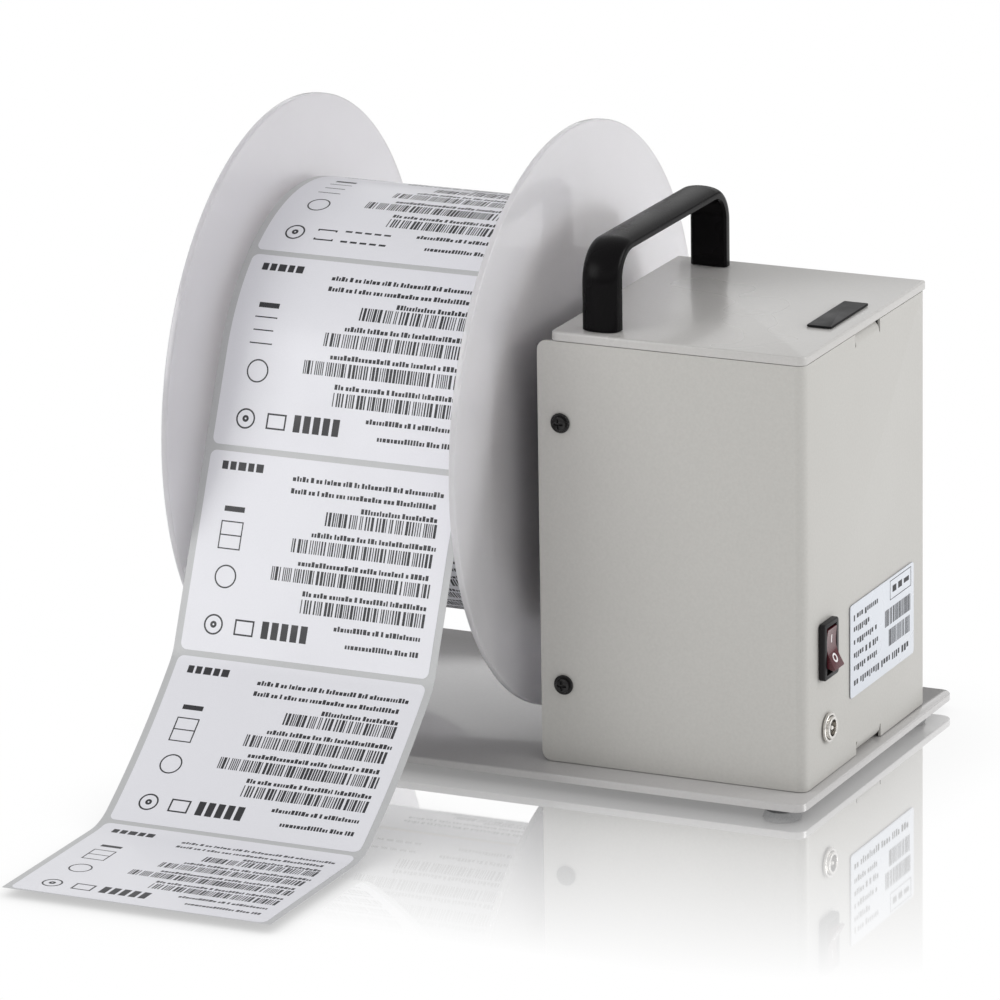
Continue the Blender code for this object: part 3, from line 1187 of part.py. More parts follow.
def make_finishes():
    return {
        "base": material("base_enamel", (0.62, 0.62, 0.61), 0.28),
        "foot": material("foot_rubber", (0.03, 0.03, 0.03), 0.8),
        "cover": material("cover_enamel", (0.42, 0.41, 0.39), 0.5),
        "lid": material("lid_enamel", (0.45, 0.44, 0.42), 0.5),
        "frame": material("plated_sheet", (0.55, 0.55, 0.53), 0.4, 1.0),
        "badge": material("badge_black", (0.01, 0.01, 0.01), 0.3),
        "handle": material("handle_black", (0.012, 0.011, 0.011), 0.35),
        "screw": material("screw_black", (0.02, 0.02, 0.02), 0.35, 0.8),
        "flange": material("flange_acrylic", (0.78, 0.78, 0.82), 0.15, 0.0, 0.85),
        "hub": material("hub_plastic", (0.05, 0.05, 0.05), 0.4),
        "steel": material("ground_steel", (0.6, 0.6, 0.6), 0.25, 1.0),
        "core": material("core_board", (0.45, 0.33, 0.2), 0.9),
        "paper": material("label_paper", (0.86, 0.86, 0.88), 0.5),
        "block": material("block_alloy", (0.6, 0.6, 0.62), 0.4, 1.0),
        "bearing": material("bearing_steel", (0.55, 0.55, 0.57), 0.2, 1.0),
        "gear": material("gear_acetal", (0.85, 0.84, 0.78), 0.45),
        "pinion": material("pinion_brass", (0.7, 0.5, 0.2), 0.3, 1.0),
        "gearbox": material("gearbox_zinc", (0.5, 0.5, 0.5), 0.4, 1.0),
        "motor": material("motor_steel", (0.35, 0.35, 0.36), 0.35, 1.0),
        "switch": material("switch_black", (0.02, 0.02, 0.022), 0.4),
        "rocker": material("rocker_red", (0.22, 0.03, 0.04), 0.35),
        "jack": material("jack_black", (0.03, 0.03, 0.03), 0.4),
        "nickel": material("jack_nickel", (0.7, 0.68, 0.65), 0.2, 1.0),
        "sticker": material("sticker_white", (0.8, 0.82, 0.85), 0.4),
        "board": material("board_green", (0.02, 0.15, 0.06), 0.5),
        "brass": material("standoff_brass", (0.7, 0.5, 0.2), 0.3, 1.0),
        "capacitor": material("capacitor_sleeve", (0.02, 0.03, 0.08), 0.3),
        "heatsink": material("heatsink_alloy", (0.08, 0.08, 0.09), 0.5, 1.0),
        "connector": material("connector_nylon", (0.8, 0.8, 0.75), 0.5),
    }


def box_shift():
    """The move that centres the part's box over the origin, from the sizes at its limits."""
    web_front = web_path()[0][:, 0].min()
    middle_x = (SHAFT_LEFT + BASE_RIGHT) / 2
    middle_y = (web_front + FLANGE_RADIUS) / 2
    return -middle_x, -middle_y, 0.0


def main():
    clear_scene()
    finishes = make_finishes()
    root = empty("label_rewinder", box_shift())
    spindle = empty("spindle_axis", (0.0, 0.0, AXIS_HEIGHT), root)
    motor = empty("motor_axis", (0.0, 0.0, MOTOR_HEIGHT), root)
    make_base(root, finishes)
    make_side_frame(root, finishes)
    make_cover(root, finishes)
    make_lid(root, finishes)
    make_handle(root, finishes)
    make_cover_screws(root, finishes)
    make_block_screws(root, finishes)
    make_bearings(spindle, finishes)
    make_spindle(spindle, finishes)
    make_flanges(spindle, finishes)
    make_lock_screw(spindle, finishes)
    make_web(root, finishes)
    make_gears(spindle, motor, finishes)
    make_motor(root, motor, finishes)
    make_switch(root, finishes)
    make_rocker(root, finishes)
    make_jack(root, finishes)
    make_rating_label(root, finishes)
    make_board(root, finishes)


main()
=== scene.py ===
"""Looks of the label rewinder: finishes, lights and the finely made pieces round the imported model.

The file is laid out as an add-on. Each piece is a surface worked out on a grid of two parameters,
in metres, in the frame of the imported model: +X along the spindle towards the housing, -Y front.
"""

import math

import bmesh
import bpy
import numpy as np
from bpy.props import FloatProperty, FloatVectorProperty, IntProperty, PointerProperty
from bpy.types import Operator, Panel, PropertyGroup
from mathutils import Matrix, Vector


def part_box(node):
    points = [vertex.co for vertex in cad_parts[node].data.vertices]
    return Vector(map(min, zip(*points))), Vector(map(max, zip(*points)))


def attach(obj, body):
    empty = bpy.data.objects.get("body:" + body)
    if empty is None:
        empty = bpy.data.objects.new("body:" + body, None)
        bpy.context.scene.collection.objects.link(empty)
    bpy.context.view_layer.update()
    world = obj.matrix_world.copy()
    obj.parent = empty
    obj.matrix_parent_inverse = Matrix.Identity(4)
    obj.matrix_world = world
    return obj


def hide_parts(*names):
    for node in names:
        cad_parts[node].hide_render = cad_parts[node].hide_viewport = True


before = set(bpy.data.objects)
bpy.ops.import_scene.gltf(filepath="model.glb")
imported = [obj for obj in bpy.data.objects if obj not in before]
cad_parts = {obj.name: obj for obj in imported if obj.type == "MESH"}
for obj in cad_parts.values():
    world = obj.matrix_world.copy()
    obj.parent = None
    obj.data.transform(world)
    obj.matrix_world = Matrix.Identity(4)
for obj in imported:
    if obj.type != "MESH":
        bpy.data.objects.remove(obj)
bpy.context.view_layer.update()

bl_info = {
    "name": "Label rewinder looks",
    "version": (1, 0, 0),
    "blender": (4, 5, 0),
    "location": "View3D > Sidebar > Rewinder",
    "description": "Builds the visible pieces and finishes of a label rewinder round its packed model",
    "category": "Object",
}


def box_of(node):
    """A node's lowest corner, highest corner and middle, as arrays."""
    low, high = (np.array(corner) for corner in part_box(node))
    return low, high, (low + high) / 2


AXIS = box_of("spindle_shaft")[2][1:]
ROLL_LOW, ROLL_HIGH, ROLL_MIDDLE = box_of("label_roll")
WEB_LOW, WEB_HIGH, _ = box_of("label_web")
BASE_LOW, BASE_HIGH, BASE_MIDDLE = box_of("base_plate")
LID_LOW, LID_HIGH, LID_MIDDLE = box_of("top_lid")
COVER_LOW, COVER_HIGH, _ = box_of("housing_cover")

MM = 0.001
AXES = {"X": (0, 1, 2), "Y": (1, 0, 2), "Z": (2, 0, 1)}
WHITE = (1.0, 1.0, 1.0, 1.0)
SHAFT_BORE = 0.0063
LEAST_LENGTH = 1e-9
LEAST_RADIUS = 1e-5
CURVE_SHARE = 0.49
MERGE_DISTANCE = 2e-6
FLAT_ANGLE, SHARP_ANGLE, ROUNDED_ANGLE = (math.radians(a) for a in (0.6, 32.0, 40.0))


# grids, turned shapes and meshes


def around(steps):
    """Angles once round a circle."""
    return np.linspace(0.0, 2 * math.pi, steps, endpoint=False)


def grid_faces(rows, columns, close_rows=False, close_columns=False):
    """Four-cornered faces of points numbered row by row; closing joins the last row or column to the first."""
    r = np.arange(rows if close_rows else rows - 1)
    c = np.arange(columns if close_columns else columns - 1)
    r, c = (a.ravel() for a in np.meshgrid(r, c, indexing="ij"))
    below, beside = (r + 1) % rows, (c + 1) % columns
    return np.stack([r * columns + c, r * columns + beside, below * columns + beside, below * columns + c], 1)


def capped(points):
    """Rows of points, rows x columns x 3, as a closed tube: walled between the rows and capped at both ends."""
    rows, columns = points.shape[:2]
    first, last = np.arange(columns)[None, ::-1], np.arange(columns)[None] + (rows - 1) * columns
    return points.reshape(-1, 3), [grid_faces(rows, columns, False, True), first, last]


def gathered(shapes):
    """Several (points, list of face arrays) as one, each one's faces counted on from the last."""
    points, faces, start = [], [], 0
    for more_points, more_faces in shapes:
        points.append(more_points)
        faces += [np.asarray(f) + start for f in more_faces]
        start += len(more_points)
    return np.vstack(points), faces


def softened(outline, radius, steps=4, closed=True):
    """Each corner becomes the curve (1-t)^2 before + 2t(1-t) corner + t^2 after, radius long to each side."""
    corner = np.asarray(outline, float)
    before, after = np.roll(corner, 1, 0), np.roll(corner, -1, 0)
    if not closed:
        before[0], after[-1] = corner[0], corner[-1]

    def towards(other):
        way = other - corner
        far = np.maximum(np.linalg.norm(way, axis=1, keepdims=True), LEAST_LENGTH)
        return corner + way * np.minimum(radius, CURVE_SHARE * far) / far

    t = np.linspace(0.0, 1.0, steps + 1)[None, :, None]
    before, after = towards(before)[:, None], towards(after)[:, None]
    curve = (1 - t) ** 2 * before + 2 * t * (1 - t) * corner[:, None] + t**2 * after
    return curve.reshape(-1, 2)


def rounded_rectangle(half_wide, half_high, radius, steps=6):
    """Corner circles joined by straight sides; radius may be one for each corner, from (+, +) by (-, +)."""
    t = np.linspace(0.0, math.pi / 2, steps + 1)
    arc = np.stack([np.cos(t), np.sin(t)], 1)
    quarters = ((1, 1, 1, 0), (-1, 1, 0, 1), (-1, -1, -1, 0), (1, -1, 0, -1))
    corners = []
    for (a, b, c, s), r in zip(quarters, np.broadcast_to(radius, 4)):
        spun = np.stack([arc[:, 0] * c - arc[:, 1] * s, arc[:, 0] * s + arc[:, 1] * c], 1)
        corners.append(r * spun + np.array((a * (half_wide - r), b * (half_high - r))))
    return np.vstack(corners)


def placed(along, first, second, axis):
    """Coordinates measured along an axis and across it, put in X, Y, Z order."""
    values = dict(zip(AXES[axis], np.broadcast_arrays(along, first, second)))
    return np.stack([values[k] for k in range(3)], -1)


def revolved(along, radius, t, centre, axis="X", closed=False):
    """Rows of radii carried round a line: (along, radius cos t, radius sin t)."""
    points = placed(along, centre[0] + radius * np.cos(t), centre[1] + radius * np.sin(t), axis)
    return points.reshape(-1, 3), [grid_faces(len(radius), t.size, closed, True)]


def lathe(profile, centre, axis="X", steps=96, closed=True):
    """A profile of (place along, radius) turned about a line."""
    profile = np.asarray(profile, float)
    return revolved(profile[:, :1], profile[:, 1:], around(steps)[None], centre, axis, closed)


def tube(low, high, inside, outside):
    """The section of a tube between two places along its line, as (place along, radius)."""
    return [(low, inside), (low, outside), (high, outside), (high, inside)]


def stacked(outlines, places, axis="X"):
    """Outlines of equal count at successive places along an axis, walled between and capped at both ends."""
    outlines = np.asarray(outlines, float)
    return capped(placed(np.asarray(places)[:, None], outlines[..., 0], outlines[..., 1], axis))


def soft_plate(half_wide, half_high, radius, centre, low, high, edge, axis="X"):
    """A rounded plate, its upper edge eased: outlines inset by edge (1 - cos t) at high - edge (1 - sin t)."""
    t = np.linspace(0.0, math.pi / 2, 4)
    insets = np.concatenate([[0.0], edge * (1 - np.cos(t))])
    places = np.concatenate([[low], high - edge * (1 - np.sin(t))])
    radius = np.asarray(radius)
    rings = [
        rounded_rectangle(half_wide - i, half_high - i, np.maximum(radius - i, LEAST_RADIUS)) + centre
        for i in insets
    ]
    return stacked(rings, places, axis)


def linked(name, mesh, finish, angle):
    """An object for a mesh, in the scene, smooth but for edges sharper than the angle."""
    mesh.shade_smooth()
    mesh.set_sharp_from_angle(angle=angle)
    mesh.materials.clear()
    mesh.materials.append(finish)
    piece = bpy.data.objects.new(name, mesh)
    bpy.context.scene.collection.objects.link(piece)
    return piece


def seated(piece, body, replaces=()):
    """Rides the body and stands for the nodes, which it hides."""
    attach(piece, body)
    if replaces:
        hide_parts(*replaces)
    return piece


def make_piece(name, shape, finish, body, replaces=(), angle=35.0, tidy=1e-7):
    """Puts points and faces into a mesh, merges doubles, turns the faces outwards and rides the body."""
    points, face_arrays = shape
    mesh = bpy.data.meshes.new(name)
    counts = np.concatenate([np.full(len(f), np.asarray(f).shape[1]) for f in face_arrays])
    corners = np.concatenate([np.asarray(f).ravel() for f in face_arrays])
    mesh.vertices.add(len(points))
    mesh.vertices.foreach_set("co", np.ascontiguousarray(points, np.float32).ravel())
    mesh.loops.add(len(corners))
    mesh.loops.foreach_set("vertex_index", corners.astype(np.int32))
    mesh.polygons.add(len(counts))
    starts = np.concatenate([[0], np.cumsum(counts)[:-1]])
    mesh.polygons.foreach_set("loop_start", starts.astype(np.int32))
    mesh.update(calc_edges=True)
    mesh.validate()
    closing = bmesh.new()
    closing.from_mesh(mesh)
    bmesh.ops.remove_doubles(closing, verts=closing.verts, dist=tidy)
    bmesh.ops.recalc_face_normals(closing, faces=closing.faces)
    closing.to_mesh(mesh)
    closing.free()
    return seated(linked(name, mesh, finish, math.radians(angle)), body, replaces)


def eased_copy(node, name, finish, body, width, segments=3):
    """A merged copy of a node with its sharp edges rounded, which stands for the node."""
    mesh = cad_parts[node].data.copy()
    mesh.name = name
    shape = bmesh.new()
    shape.from_mesh(mesh)
    bmesh.ops.remove_doubles(shape, verts=shape.verts, dist=MERGE_DISTANCE)
    bmesh.ops.dissolve_limit(
        shape, angle_limit=FLAT_ANGLE, verts=shape.verts, edges=shape.edges, use_dissolve_boundaries=False
    )
    bmesh.ops.recalc_face_normals(shape, faces=shape.faces)
    shape.to_mesh(mesh)
    shape.free()
    piece = linked(name, mesh, finish, SHARP_ANGLE)
    rounding = piece.modifiers.new("Rounded edges", "BEVEL")
    rounding.width = width
    rounding.segments = segments
    rounding.limit_method = "ANGLE"
    rounding.angle_limit = ROUNDED_ANGLE
    rounding.harden_normals = True
    return seated(piece, body, (node,))


# finishes

PATCHINESS = 0.15
RING_WOBBLE, RING_DETAIL = 1.5, 3.0
WAVE_PERIODS = 20.0


def feed(tree, made, inputs):
    """Sets a node's inputs, by name or number, each to a constant or from another node's output."""
    for name, value in inputs.items():
        if isinstance(value, bpy.types.NodeSocket):
            tree.links.new(value, made.inputs[name])
        else:
            made.inputs[name].default_value = value


def wired(tree, kind, output, inputs, **settings):
    """One output of a new node with these settings and inputs."""
    made = tree.nodes.new("ShaderNode" + kind)
    for name, value in settings.items():
        setattr(made, name, value)
    feed(tree, made, inputs)
    return made.outputs[output]


def shader_of(name):
    """A new material, its node tree and its Principled shader."""
    finish = bpy.data.materials.new(name)
    finish.use_nodes = True
    return finish, finish.node_tree, finish.node_tree.nodes["Principled BSDF"]


def noise(tree, size, detail, stretch=(1.0, 1.0, 1.0)):
    """Noise on Object coordinates whose features are about size metres across."""
    place = wired(tree, "TexCoord", "Object", {})
    scaled = wired(tree, "Mapping", "Vector", {"Vector": place, "Scale": stretch})
    return wired(tree, "TexNoise", "Fac", {"Vector": scaled, "Scale": 1.0 / size, "Detail": detail})


def spread(tree, value, low, high, from_low=0.3, from_high=0.7):
    """A value stretched so that from_low becomes low and from_high becomes high."""
    ends = {"From Min": from_low, "From Max": from_high, "To Min": low, "To Max": high}
    return wired(tree, "MapRange", "Result", {"Value": value, **ends})


def blended(tree, share, first, second):
    """One colour fading to another by a value."""
    ends = {"A": (*first, 1.0), "B": (*second, 1.0)}
    return wired(tree, "Mix", "Result", {"Factor": share, **ends}, data_type="RGBA")


def relief(tree, value, depth):
    """Bump of a given depth in metres."""
    return wired(tree, "Bump", "Normal", {"Height": value, "Distance": depth})


def grained(name, colour, rough, grain, depth, vary=0.05, patch=0.03, stretch=(1.0, 1.0, 1.0), **sockets):
    """A finish with fine grain in its bump and colour, and slow patches in its roughness."""
    finish, tree, shader = shader_of(name)
    colour = np.asarray(colour, float)
    fine, slow = noise(tree, grain, 4.0, stretch), noise(tree, patch, 2.0)
    darker, lighter = tuple(colour * (1 - vary)), tuple(np.minimum(colour * (1 + vary), 1.0))
    inputs = {
        "Base Color": blended(tree, spread(tree, fine, 0.0, 1.0), darker, lighter),
        "Roughness": spread(tree, slow, rough * (1 - PATCHINESS), min(rough * (1 + PATCHINESS), 1.0)),
        "Normal": relief(tree, fine, depth),
    }
    inputs.update((socket.replace("_", " "), value) for socket, value in sockets.items())
    feed(tree, shader, inputs)
    finish.diffuse_color = (*colour, 1.0)
    return finish


def ringed(name, colours, rough, centre, period, depth):
    """Paper layers seen edge on: rings about the spindle that wander a little."""
    finish, tree, shader = shader_of(name)
    place = wired(tree, "TexCoord", "Object", {})
    centred = wired(tree, "Mapping", "Vector", {"Vector": place, "Location": (0.0, -centre[0], -centre[1])})
    scale = 2 * math.pi / (WAVE_PERIODS * period)
    waves = {"Vector": centred, "Scale": scale, "Distortion": RING_WOBBLE, "Detail": RING_DETAIL}
    rings = wired(tree, "TexWave", "Fac", waves, wave_type="RINGS", rings_direction="X")
    inputs = {"Base Color": blended(tree, rings, *colours), "Roughness": rough}
    feed(tree, shader, {**inputs, "Normal": relief(tree, rings, depth)})
    return finish


def milky(name, colour, rough, through, depth):
    """Cast acrylic: part of the light passes and scatters, part is turned back, under a polished skin."""
    finish, tree, shader = shader_of(name)
    wave, haze = noise(tree, 0.05, 1.0), noise(tree, 0.02, 2.0)
    colour = np.asarray(colour, float)
    inputs = {
        "Base Color": blended(tree, spread(tree, haze, 0.0, 1.0), tuple(colour * 0.985), tuple(colour)),
        "Roughness": spread(tree, wave, rough * 0.93, rough * 1.07),
        "Normal": relief(tree, wave, 2e-5),
        "Transmission Weight": through,
        "Subsurface Weight": 1.0,
        "Subsurface Radius": (1.0, 1.0, 1.0),
        "Subsurface Scale": depth,
        "IOR": 1.49,
        "Coat Weight": 0.6,
        "Coat Roughness": 0.04,
    }
    feed(tree, shader, inputs)
    finish.diffuse_color = (*colour, 0.85)
    return finish


# settings


def length(name, description, default):
    return FloatProperty(
        name=name, description=description, default=default, min=0.0, unit="LENGTH", precision=5
    )


def turn(name, description, degrees):
    return FloatProperty(name=name, description=description, default=math.radians(degrees), unit="ROTATION")


def number(name, description, default):
    return FloatProperty(name=name, description=description, default=default)


def tint(name, description, default):
    return FloatVectorProperty(
        name=name, description=description, default=default, size=3, min=0.0, max=1.0, subtype="COLOR"
    )


class HousingSettings(PropertyGroup):
    cover_colour: tint("Cover colour", "Powder coat of the bent cover", (0.50, 0.49, 0.465))
    lid_colour: tint("Lid colour", "Powder coat of the lid", (0.52, 0.51, 0.495))
    base_colour: tint("Base colour", "Glossy enamel of the base plate", (0.50, 0.49, 0.485))
    sheet_colour: tint("Frame colour", "Zinc plating of the folded side frame", (0.50, 0.50, 0.49))
    edge: length("Edge", "Radius of the coated sheet's edges", 0.0005)
    base_edge: length("Base edge", "Radius of the base plate's edges", 0.0006)
    lid_edge: length("Lid edge", "Radius of the lid's folded edge", 0.0009)
    lid_front_corner: length("Front corner", "Radius of the lid's front corners seen from above", 0.0032)
    lid_back_corner: length("Back corner", "Radius of the lid's back corners seen from above", 0.0009)
    grain: length("Grain", "Size of the orange peel in the powder coat", 0.0011)
    grain_depth: length("Grain depth", "Depth of the orange peel", 0.00003)


class HandleSettings(PropertyGroup):
    colour: tint("Colour", "Satin black of the handle", (0.004, 0.0036, 0.004))
    crown: number("Crown", "Power of the sine that shapes the crowned back", 0.62)
    edge: length("Edge", "Chamfer beside the flat inner face", 0.0009)
    width: length("Width", "Width of the grip across the housing", 0.0160)
    inner_half: length("Inner half length", "From the handle's middle to the inner face of a leg", 0.0519)
    inner_height: length("Inner height", "From the lid to the inner face of the grip", 0.0305)
    inner_radius: length("Inner radius", "Radius of the inner face at each bend", 0.0102)
    outer_radius: length("Outer radius", "Radius of the back at each bend", 0.0176)
    leg: length("Leg thickness", "From a leg's inner face to its crown", 0.0080)
    grip: length("Grip thickness", "From the grip's inner face to its crown", 0.0052)
    screw_head: length("Screw head", "Height of the heads of the screws in the legs", 0.0028)
    screw_shank: length("Screw shank", "Radius of the shanks of the screws in the legs", 0.0021)


class FastenerSettings(PropertyGroup):
    colour: tint("Colour", "Black oxide of the screws", (0.022, 0.021, 0.021))
    head_radius: length("Head radius", "Radius of a screw's head", 0.0030)
    head_height: length("Head height", "Height of a screw's crowned head", 0.0018)
    washer_radius: length("Washer radius", "Radius of a cover screw's washer", 0.0041)
    washer_thickness: length("Washer thickness", "Thickness of a cover screw's washer", 0.0007)
    recess_depth: length("Recess depth", "Depth of the cross recess", 0.0010)
    recess_width: length("Recess width", "Width of one slot of the cross", 0.0008)
    recess_length: length("Recess length", "Length of one slot of the cross", 0.0038)


class SwitchSettings(PropertyGroup):
    housing_colour: tint("Housing colour", "Moulded black of the switch", (0.009, 0.008, 0.009))
    rocker_colour: tint("Rocker colour", "Dark red of the rocker", (0.085, 0.012, 0.018))
    mark_colour: tint("Mark colour", "White of the on and off marks", (0.82, 0.80, 0.80))
    nickel_colour: tint("Nickel colour", "Bright plating of the inlet's nut", (0.72, 0.70, 0.67))
    rocker_width: length("Rocker width", "Width of the rocker", 0.0094)
    rocker_half: length("Rocker half height", "From the rocker's pivot to each end of its face", 0.0082)
    rocker_end: length("End rise", "How far each end of the rocker's face stands over its pivot", 0.0042)
    rocker_middle: length("Middle rise", "How far the middle of the face stands over its pivot", 0.0022)
    rocker_behind: length("Pivot depth", "How far the pivot lies behind the bezel's face", 0.0023)
    rocker_tilt: turn("Tilt", "How far the rocker leans in its ON position", 11.0)


class LabelSettings(PropertyGroup):
    paper_colour: tint("Paper colour", "Coated white paper of the labels", (0.76, 0.76, 0.80))
    liner_colour: tint("Liner colour", "Grey glassine under the labels", (0.50, 0.505, 0.51))
    ink_colour: tint("Ink colour", "Black thermal print", (0.018, 0.018, 0.022))
    pitch: length("Pitch", "From one label to the next along the strip", 0.084)
    gap: length("Gap", "Bare liner between two labels", 0.0025)
    margin: length("Margin", "Bare liner beside the labels", 0.0030)
    corner: length("Corner", "Radius of a label's corners", 0.0028)
    first_gap: length("First gap", "From the strip's start to the first gap", 0.049)
    thickness: length("Label thickness", "Thickness of a label", 0.00015)
    print_thickness: length("Print thickness", "How far the print stands over the paper", 0.00003)
    seed: IntProperty(name="Seed", description="Seed of the blocks and bars of the print", default=7)


class StripSettings(PropertyGroup):
    radius: length("Roll radius", "Radius of the strip's outer face on the roll", 0.086)
    thickness: length("Thickness", "Thickness of the hanging strip", 0.0005)
    start: turn("Start", "Where the hanging strip begins on the roll, from the back upwards", 38.0)
    leave: turn("Leaving slope", "Slope at which the strip leaves the roll", 66.7)
    first_bend: turn("Slope after the fold", "Slope after the first bend", 43.5)
    slope_end: turn("Slope at the floor", "Slope where the strip starts to level out", 32.0)
    first_bend_length: length("First bend", "Length of the first bend", 0.008)
    slope_length: length("Slope length", "Length of the part that leans forward", 0.072)
    second_bend_length: length("Second bend", "Length of the bend at the floor", 0.016)


class FlangeSettings(PropertyGroup):
    # Painted light: both discs are the same milky acrylic. The inner one's colour is made lighter and bluer,
    # standing in for the light that falls on it; the outer one's is darker, standing in for the shade it stands
    # in.
    inner_lit_colour: tint("Inner colour", "Milky acrylic of the flange beside the housing", (0.945, 0.915, 0.97))
    outer_shaded_colour: tint("Outer colour", "Milky acrylic of the flange at the free end", (0.74, 0.72, 0.765))
    roughness: number("Haze", "How much the flange blurs what is behind", 0.4)
    through: number("Share let through", "Share seen through as a blur", 0.5)
    depth: length("Scattering depth", "How far light wanders inside the acrylic", 0.02)
    edge: length("Edge", "Radius of the polished rim's edges", 0.0007)
    hub_colour: tint("Hub colour", "Black moulded hubs", (0.03, 0.03, 0.032))


class StageSettings(PropertyGroup):
    azimuth: turn("Azimuth", "Camera direction round the object", 24.914)
    elevation: turn("Elevation", "Camera height angle", 16.366)
    roll: turn("Roll", "Camera roll", -0.891)
    distance: length("Distance", "From the camera to its target", 3.2304)
    target: FloatVectorProperty(
        name="Target", description="Point at the middle of the picture",
        default=(float(COVER_LOW[0]) - 0.0470, float(AXIS[0]), 0.09416), size=3, subtype="XYZ",
    )
    focal: number("Focal length", "Lens in millimetres on a 36 mm sensor", 283.28)
    floor: length("Floor", "Half the side of the floor", 6.0)
    gloss: number("Gloss", "Share that the floor mirrors beside the object", 0.72)
    fade: length("Fade", "Distance over which the floor's gloss fades", 0.18)
    shadow: length("Shadow", "Reach of the soft shadow that the object lays on the floor", 0.06)
    shade: number("Shade", "Share of the floor's white left in the deepest shadow", 0.5)
    key: number("Key light", "Power of the low light on the right", 11.8)
    left: number("Left light", "Power of the broad light on the left", 9.3)
    sky: number("Sky", "Strength of the light from above", 0.71)
    wall: number("Walls", "Strength of the light from below the white band", 0.12)
    band: number("Band", "Strength of the white band that the floor mirrors", 1.0)
    band_low: number("Band from", "Upward share of the direction where it starts", 0.16)
    band_high: number("Band to", "Upward share of the direction where it ends", 0.42)


# housing


class REWINDER_OT_housing(Operator):
    """Rounds the edges of the base plate, cover, lid and side frame and gives them their coats"""

    bl_idname = "rewinder.housing"
    bl_label = "Housing"

    def execute(self, context):
        s = context.scene.rewinder_housing
        peel = s.grain, s.grain_depth
        cover = grained("Powder coat", s.cover_colour, 0.44, *peel, 0.03, 0.06, Coat_Weight=0.12)
        lid = grained("Lid coat", s.lid_colour, 0.30, *peel, 0.025, 0.06, Coat_Weight=0.25, Coat_Roughness=0.12)
        fine = s.grain, s.grain_depth / 3
        base = grained("Base enamel", s.base_colour, 0.16, *fine, 0.02, 0.08, Coat_Weight=0.5)
        plated = grained("Zinc plating", s.sheet_colour, 0.38, 0.004, 6e-6, 0.08, 0.02, Metallic=0.85)
        eased_copy("housing_cover", "cover_shell", cover, "chassis", s.edge)
        radii = (s.lid_back_corner, s.lid_back_corner, s.lid_front_corner, s.lid_front_corner)
        half = (LID_HIGH - LID_LOW) / 2
        shape = soft_plate(half[0], half[1], radii, LID_MIDDLE[:2], LID_LOW[2], LID_HIGH[2], s.lid_edge, "Z")
        make_piece("lid_tray", shape, lid, "chassis", ("top_lid",), 30.0)
        eased_copy("base_plate", "base_slab", base, "chassis", s.base_edge)
        eased_copy("side_frame", "frame_wall", plated, "chassis", s.edge / 2)
        return {"FINISHED"}


# badge and rating sticker; the sticker's print is measured in shares of its length and height, and its
# rows of text are (top, end)

BADGE_CORNER, BADGE_EDGE = 0.0006, 0.0003
STICKER_CORNER, STICKER_EDGE, STICKER_RECESS = 0.0015, 0.0001, 5e-5
INK_LOW, INK_HIGH = -1e-4, -1e-5
TEXT_ROWS = ((0.88, 0.44), (0.75, 0.30), (0.61, 0.46), (0.47, 0.46), (0.33, 0.45))
TEXT_START, TEXT_HEIGHT = 0.05, 0.065
SYMBOL_BOXES = (
    (0.62, 0.625, 0.76, 0.97), (0.95, 0.955, 0.76, 0.97), (0.62, 0.955, 0.76, 0.768),
    (0.62, 0.955, 0.962, 0.97), (0.66, 0.72, 0.83, 0.90), (0.75, 0.81, 0.83, 0.90), (0.84, 0.92, 0.84, 0.89),
)


def sticker_marks(rng):
    """Rows of plain blocks and bars, and boxes, as (y0, y1, z0, z1) shares of the length and height."""
    marks = []
    for top, end in TEXT_ROWS:
        marks += blocks_in_row(rng, TEXT_START, end, top - TEXT_HEIGHT, top, 0.020, 0.012)
    marks += blocks_in_row(rng, TEXT_START, 0.95, 0.10, 0.175, 0.022, 0.014)
    marks += bars_in_row(rng, 0.54, 0.95, 0.50, 0.68, 0.006, 0.016)
    marks += bars_in_row(rng, 0.60, 0.95, 0.27, 0.45, 0.006, 0.016)
    return np.array([*marks, *SYMBOL_BOXES])


def blocks_in_row(rng, start, end, low, high, width, space):
    """Plain blocks of varying width side by side, with wider spaces now and then, like greeked text."""
    count = int((end - start) / (width + space) * 1.6) + 2
    wide = width * rng.uniform(0.6, 1.4, count)
    gap = space * np.where(rng.random(count) < 0.16, 2.6, 1.0)
    ends = start + np.cumsum(wide + gap)
    starts = ends - wide - gap
    keep = starts + wide <= end
    short = np.where(rng.random(count) < 0.6, low + 0.27 * (high - low), low)
    return [(a, a + w, b, high) for a, w, b in zip(starts[keep], wide[keep], short[keep])]


def bars_in_row(rng, start, end, low, high, thin, thick):
    """Upright bars of random width and spacing."""
    count = int((end - start) / thin) + 4
    wide = rng.choice([thin, 1.6 * thin, thick], count, p=[0.5, 0.3, 0.2])
    gap = rng.choice([thin, 1.5 * thin, thick], count, p=[0.5, 0.35, 0.15])
    starts = start + np.concatenate([[0.0], np.cumsum(wide + gap)[:-1]])
    keep = starts + wide <= end
    return [(a, a + w, low, high) for a, w in zip(starts[keep], wide[keep])]


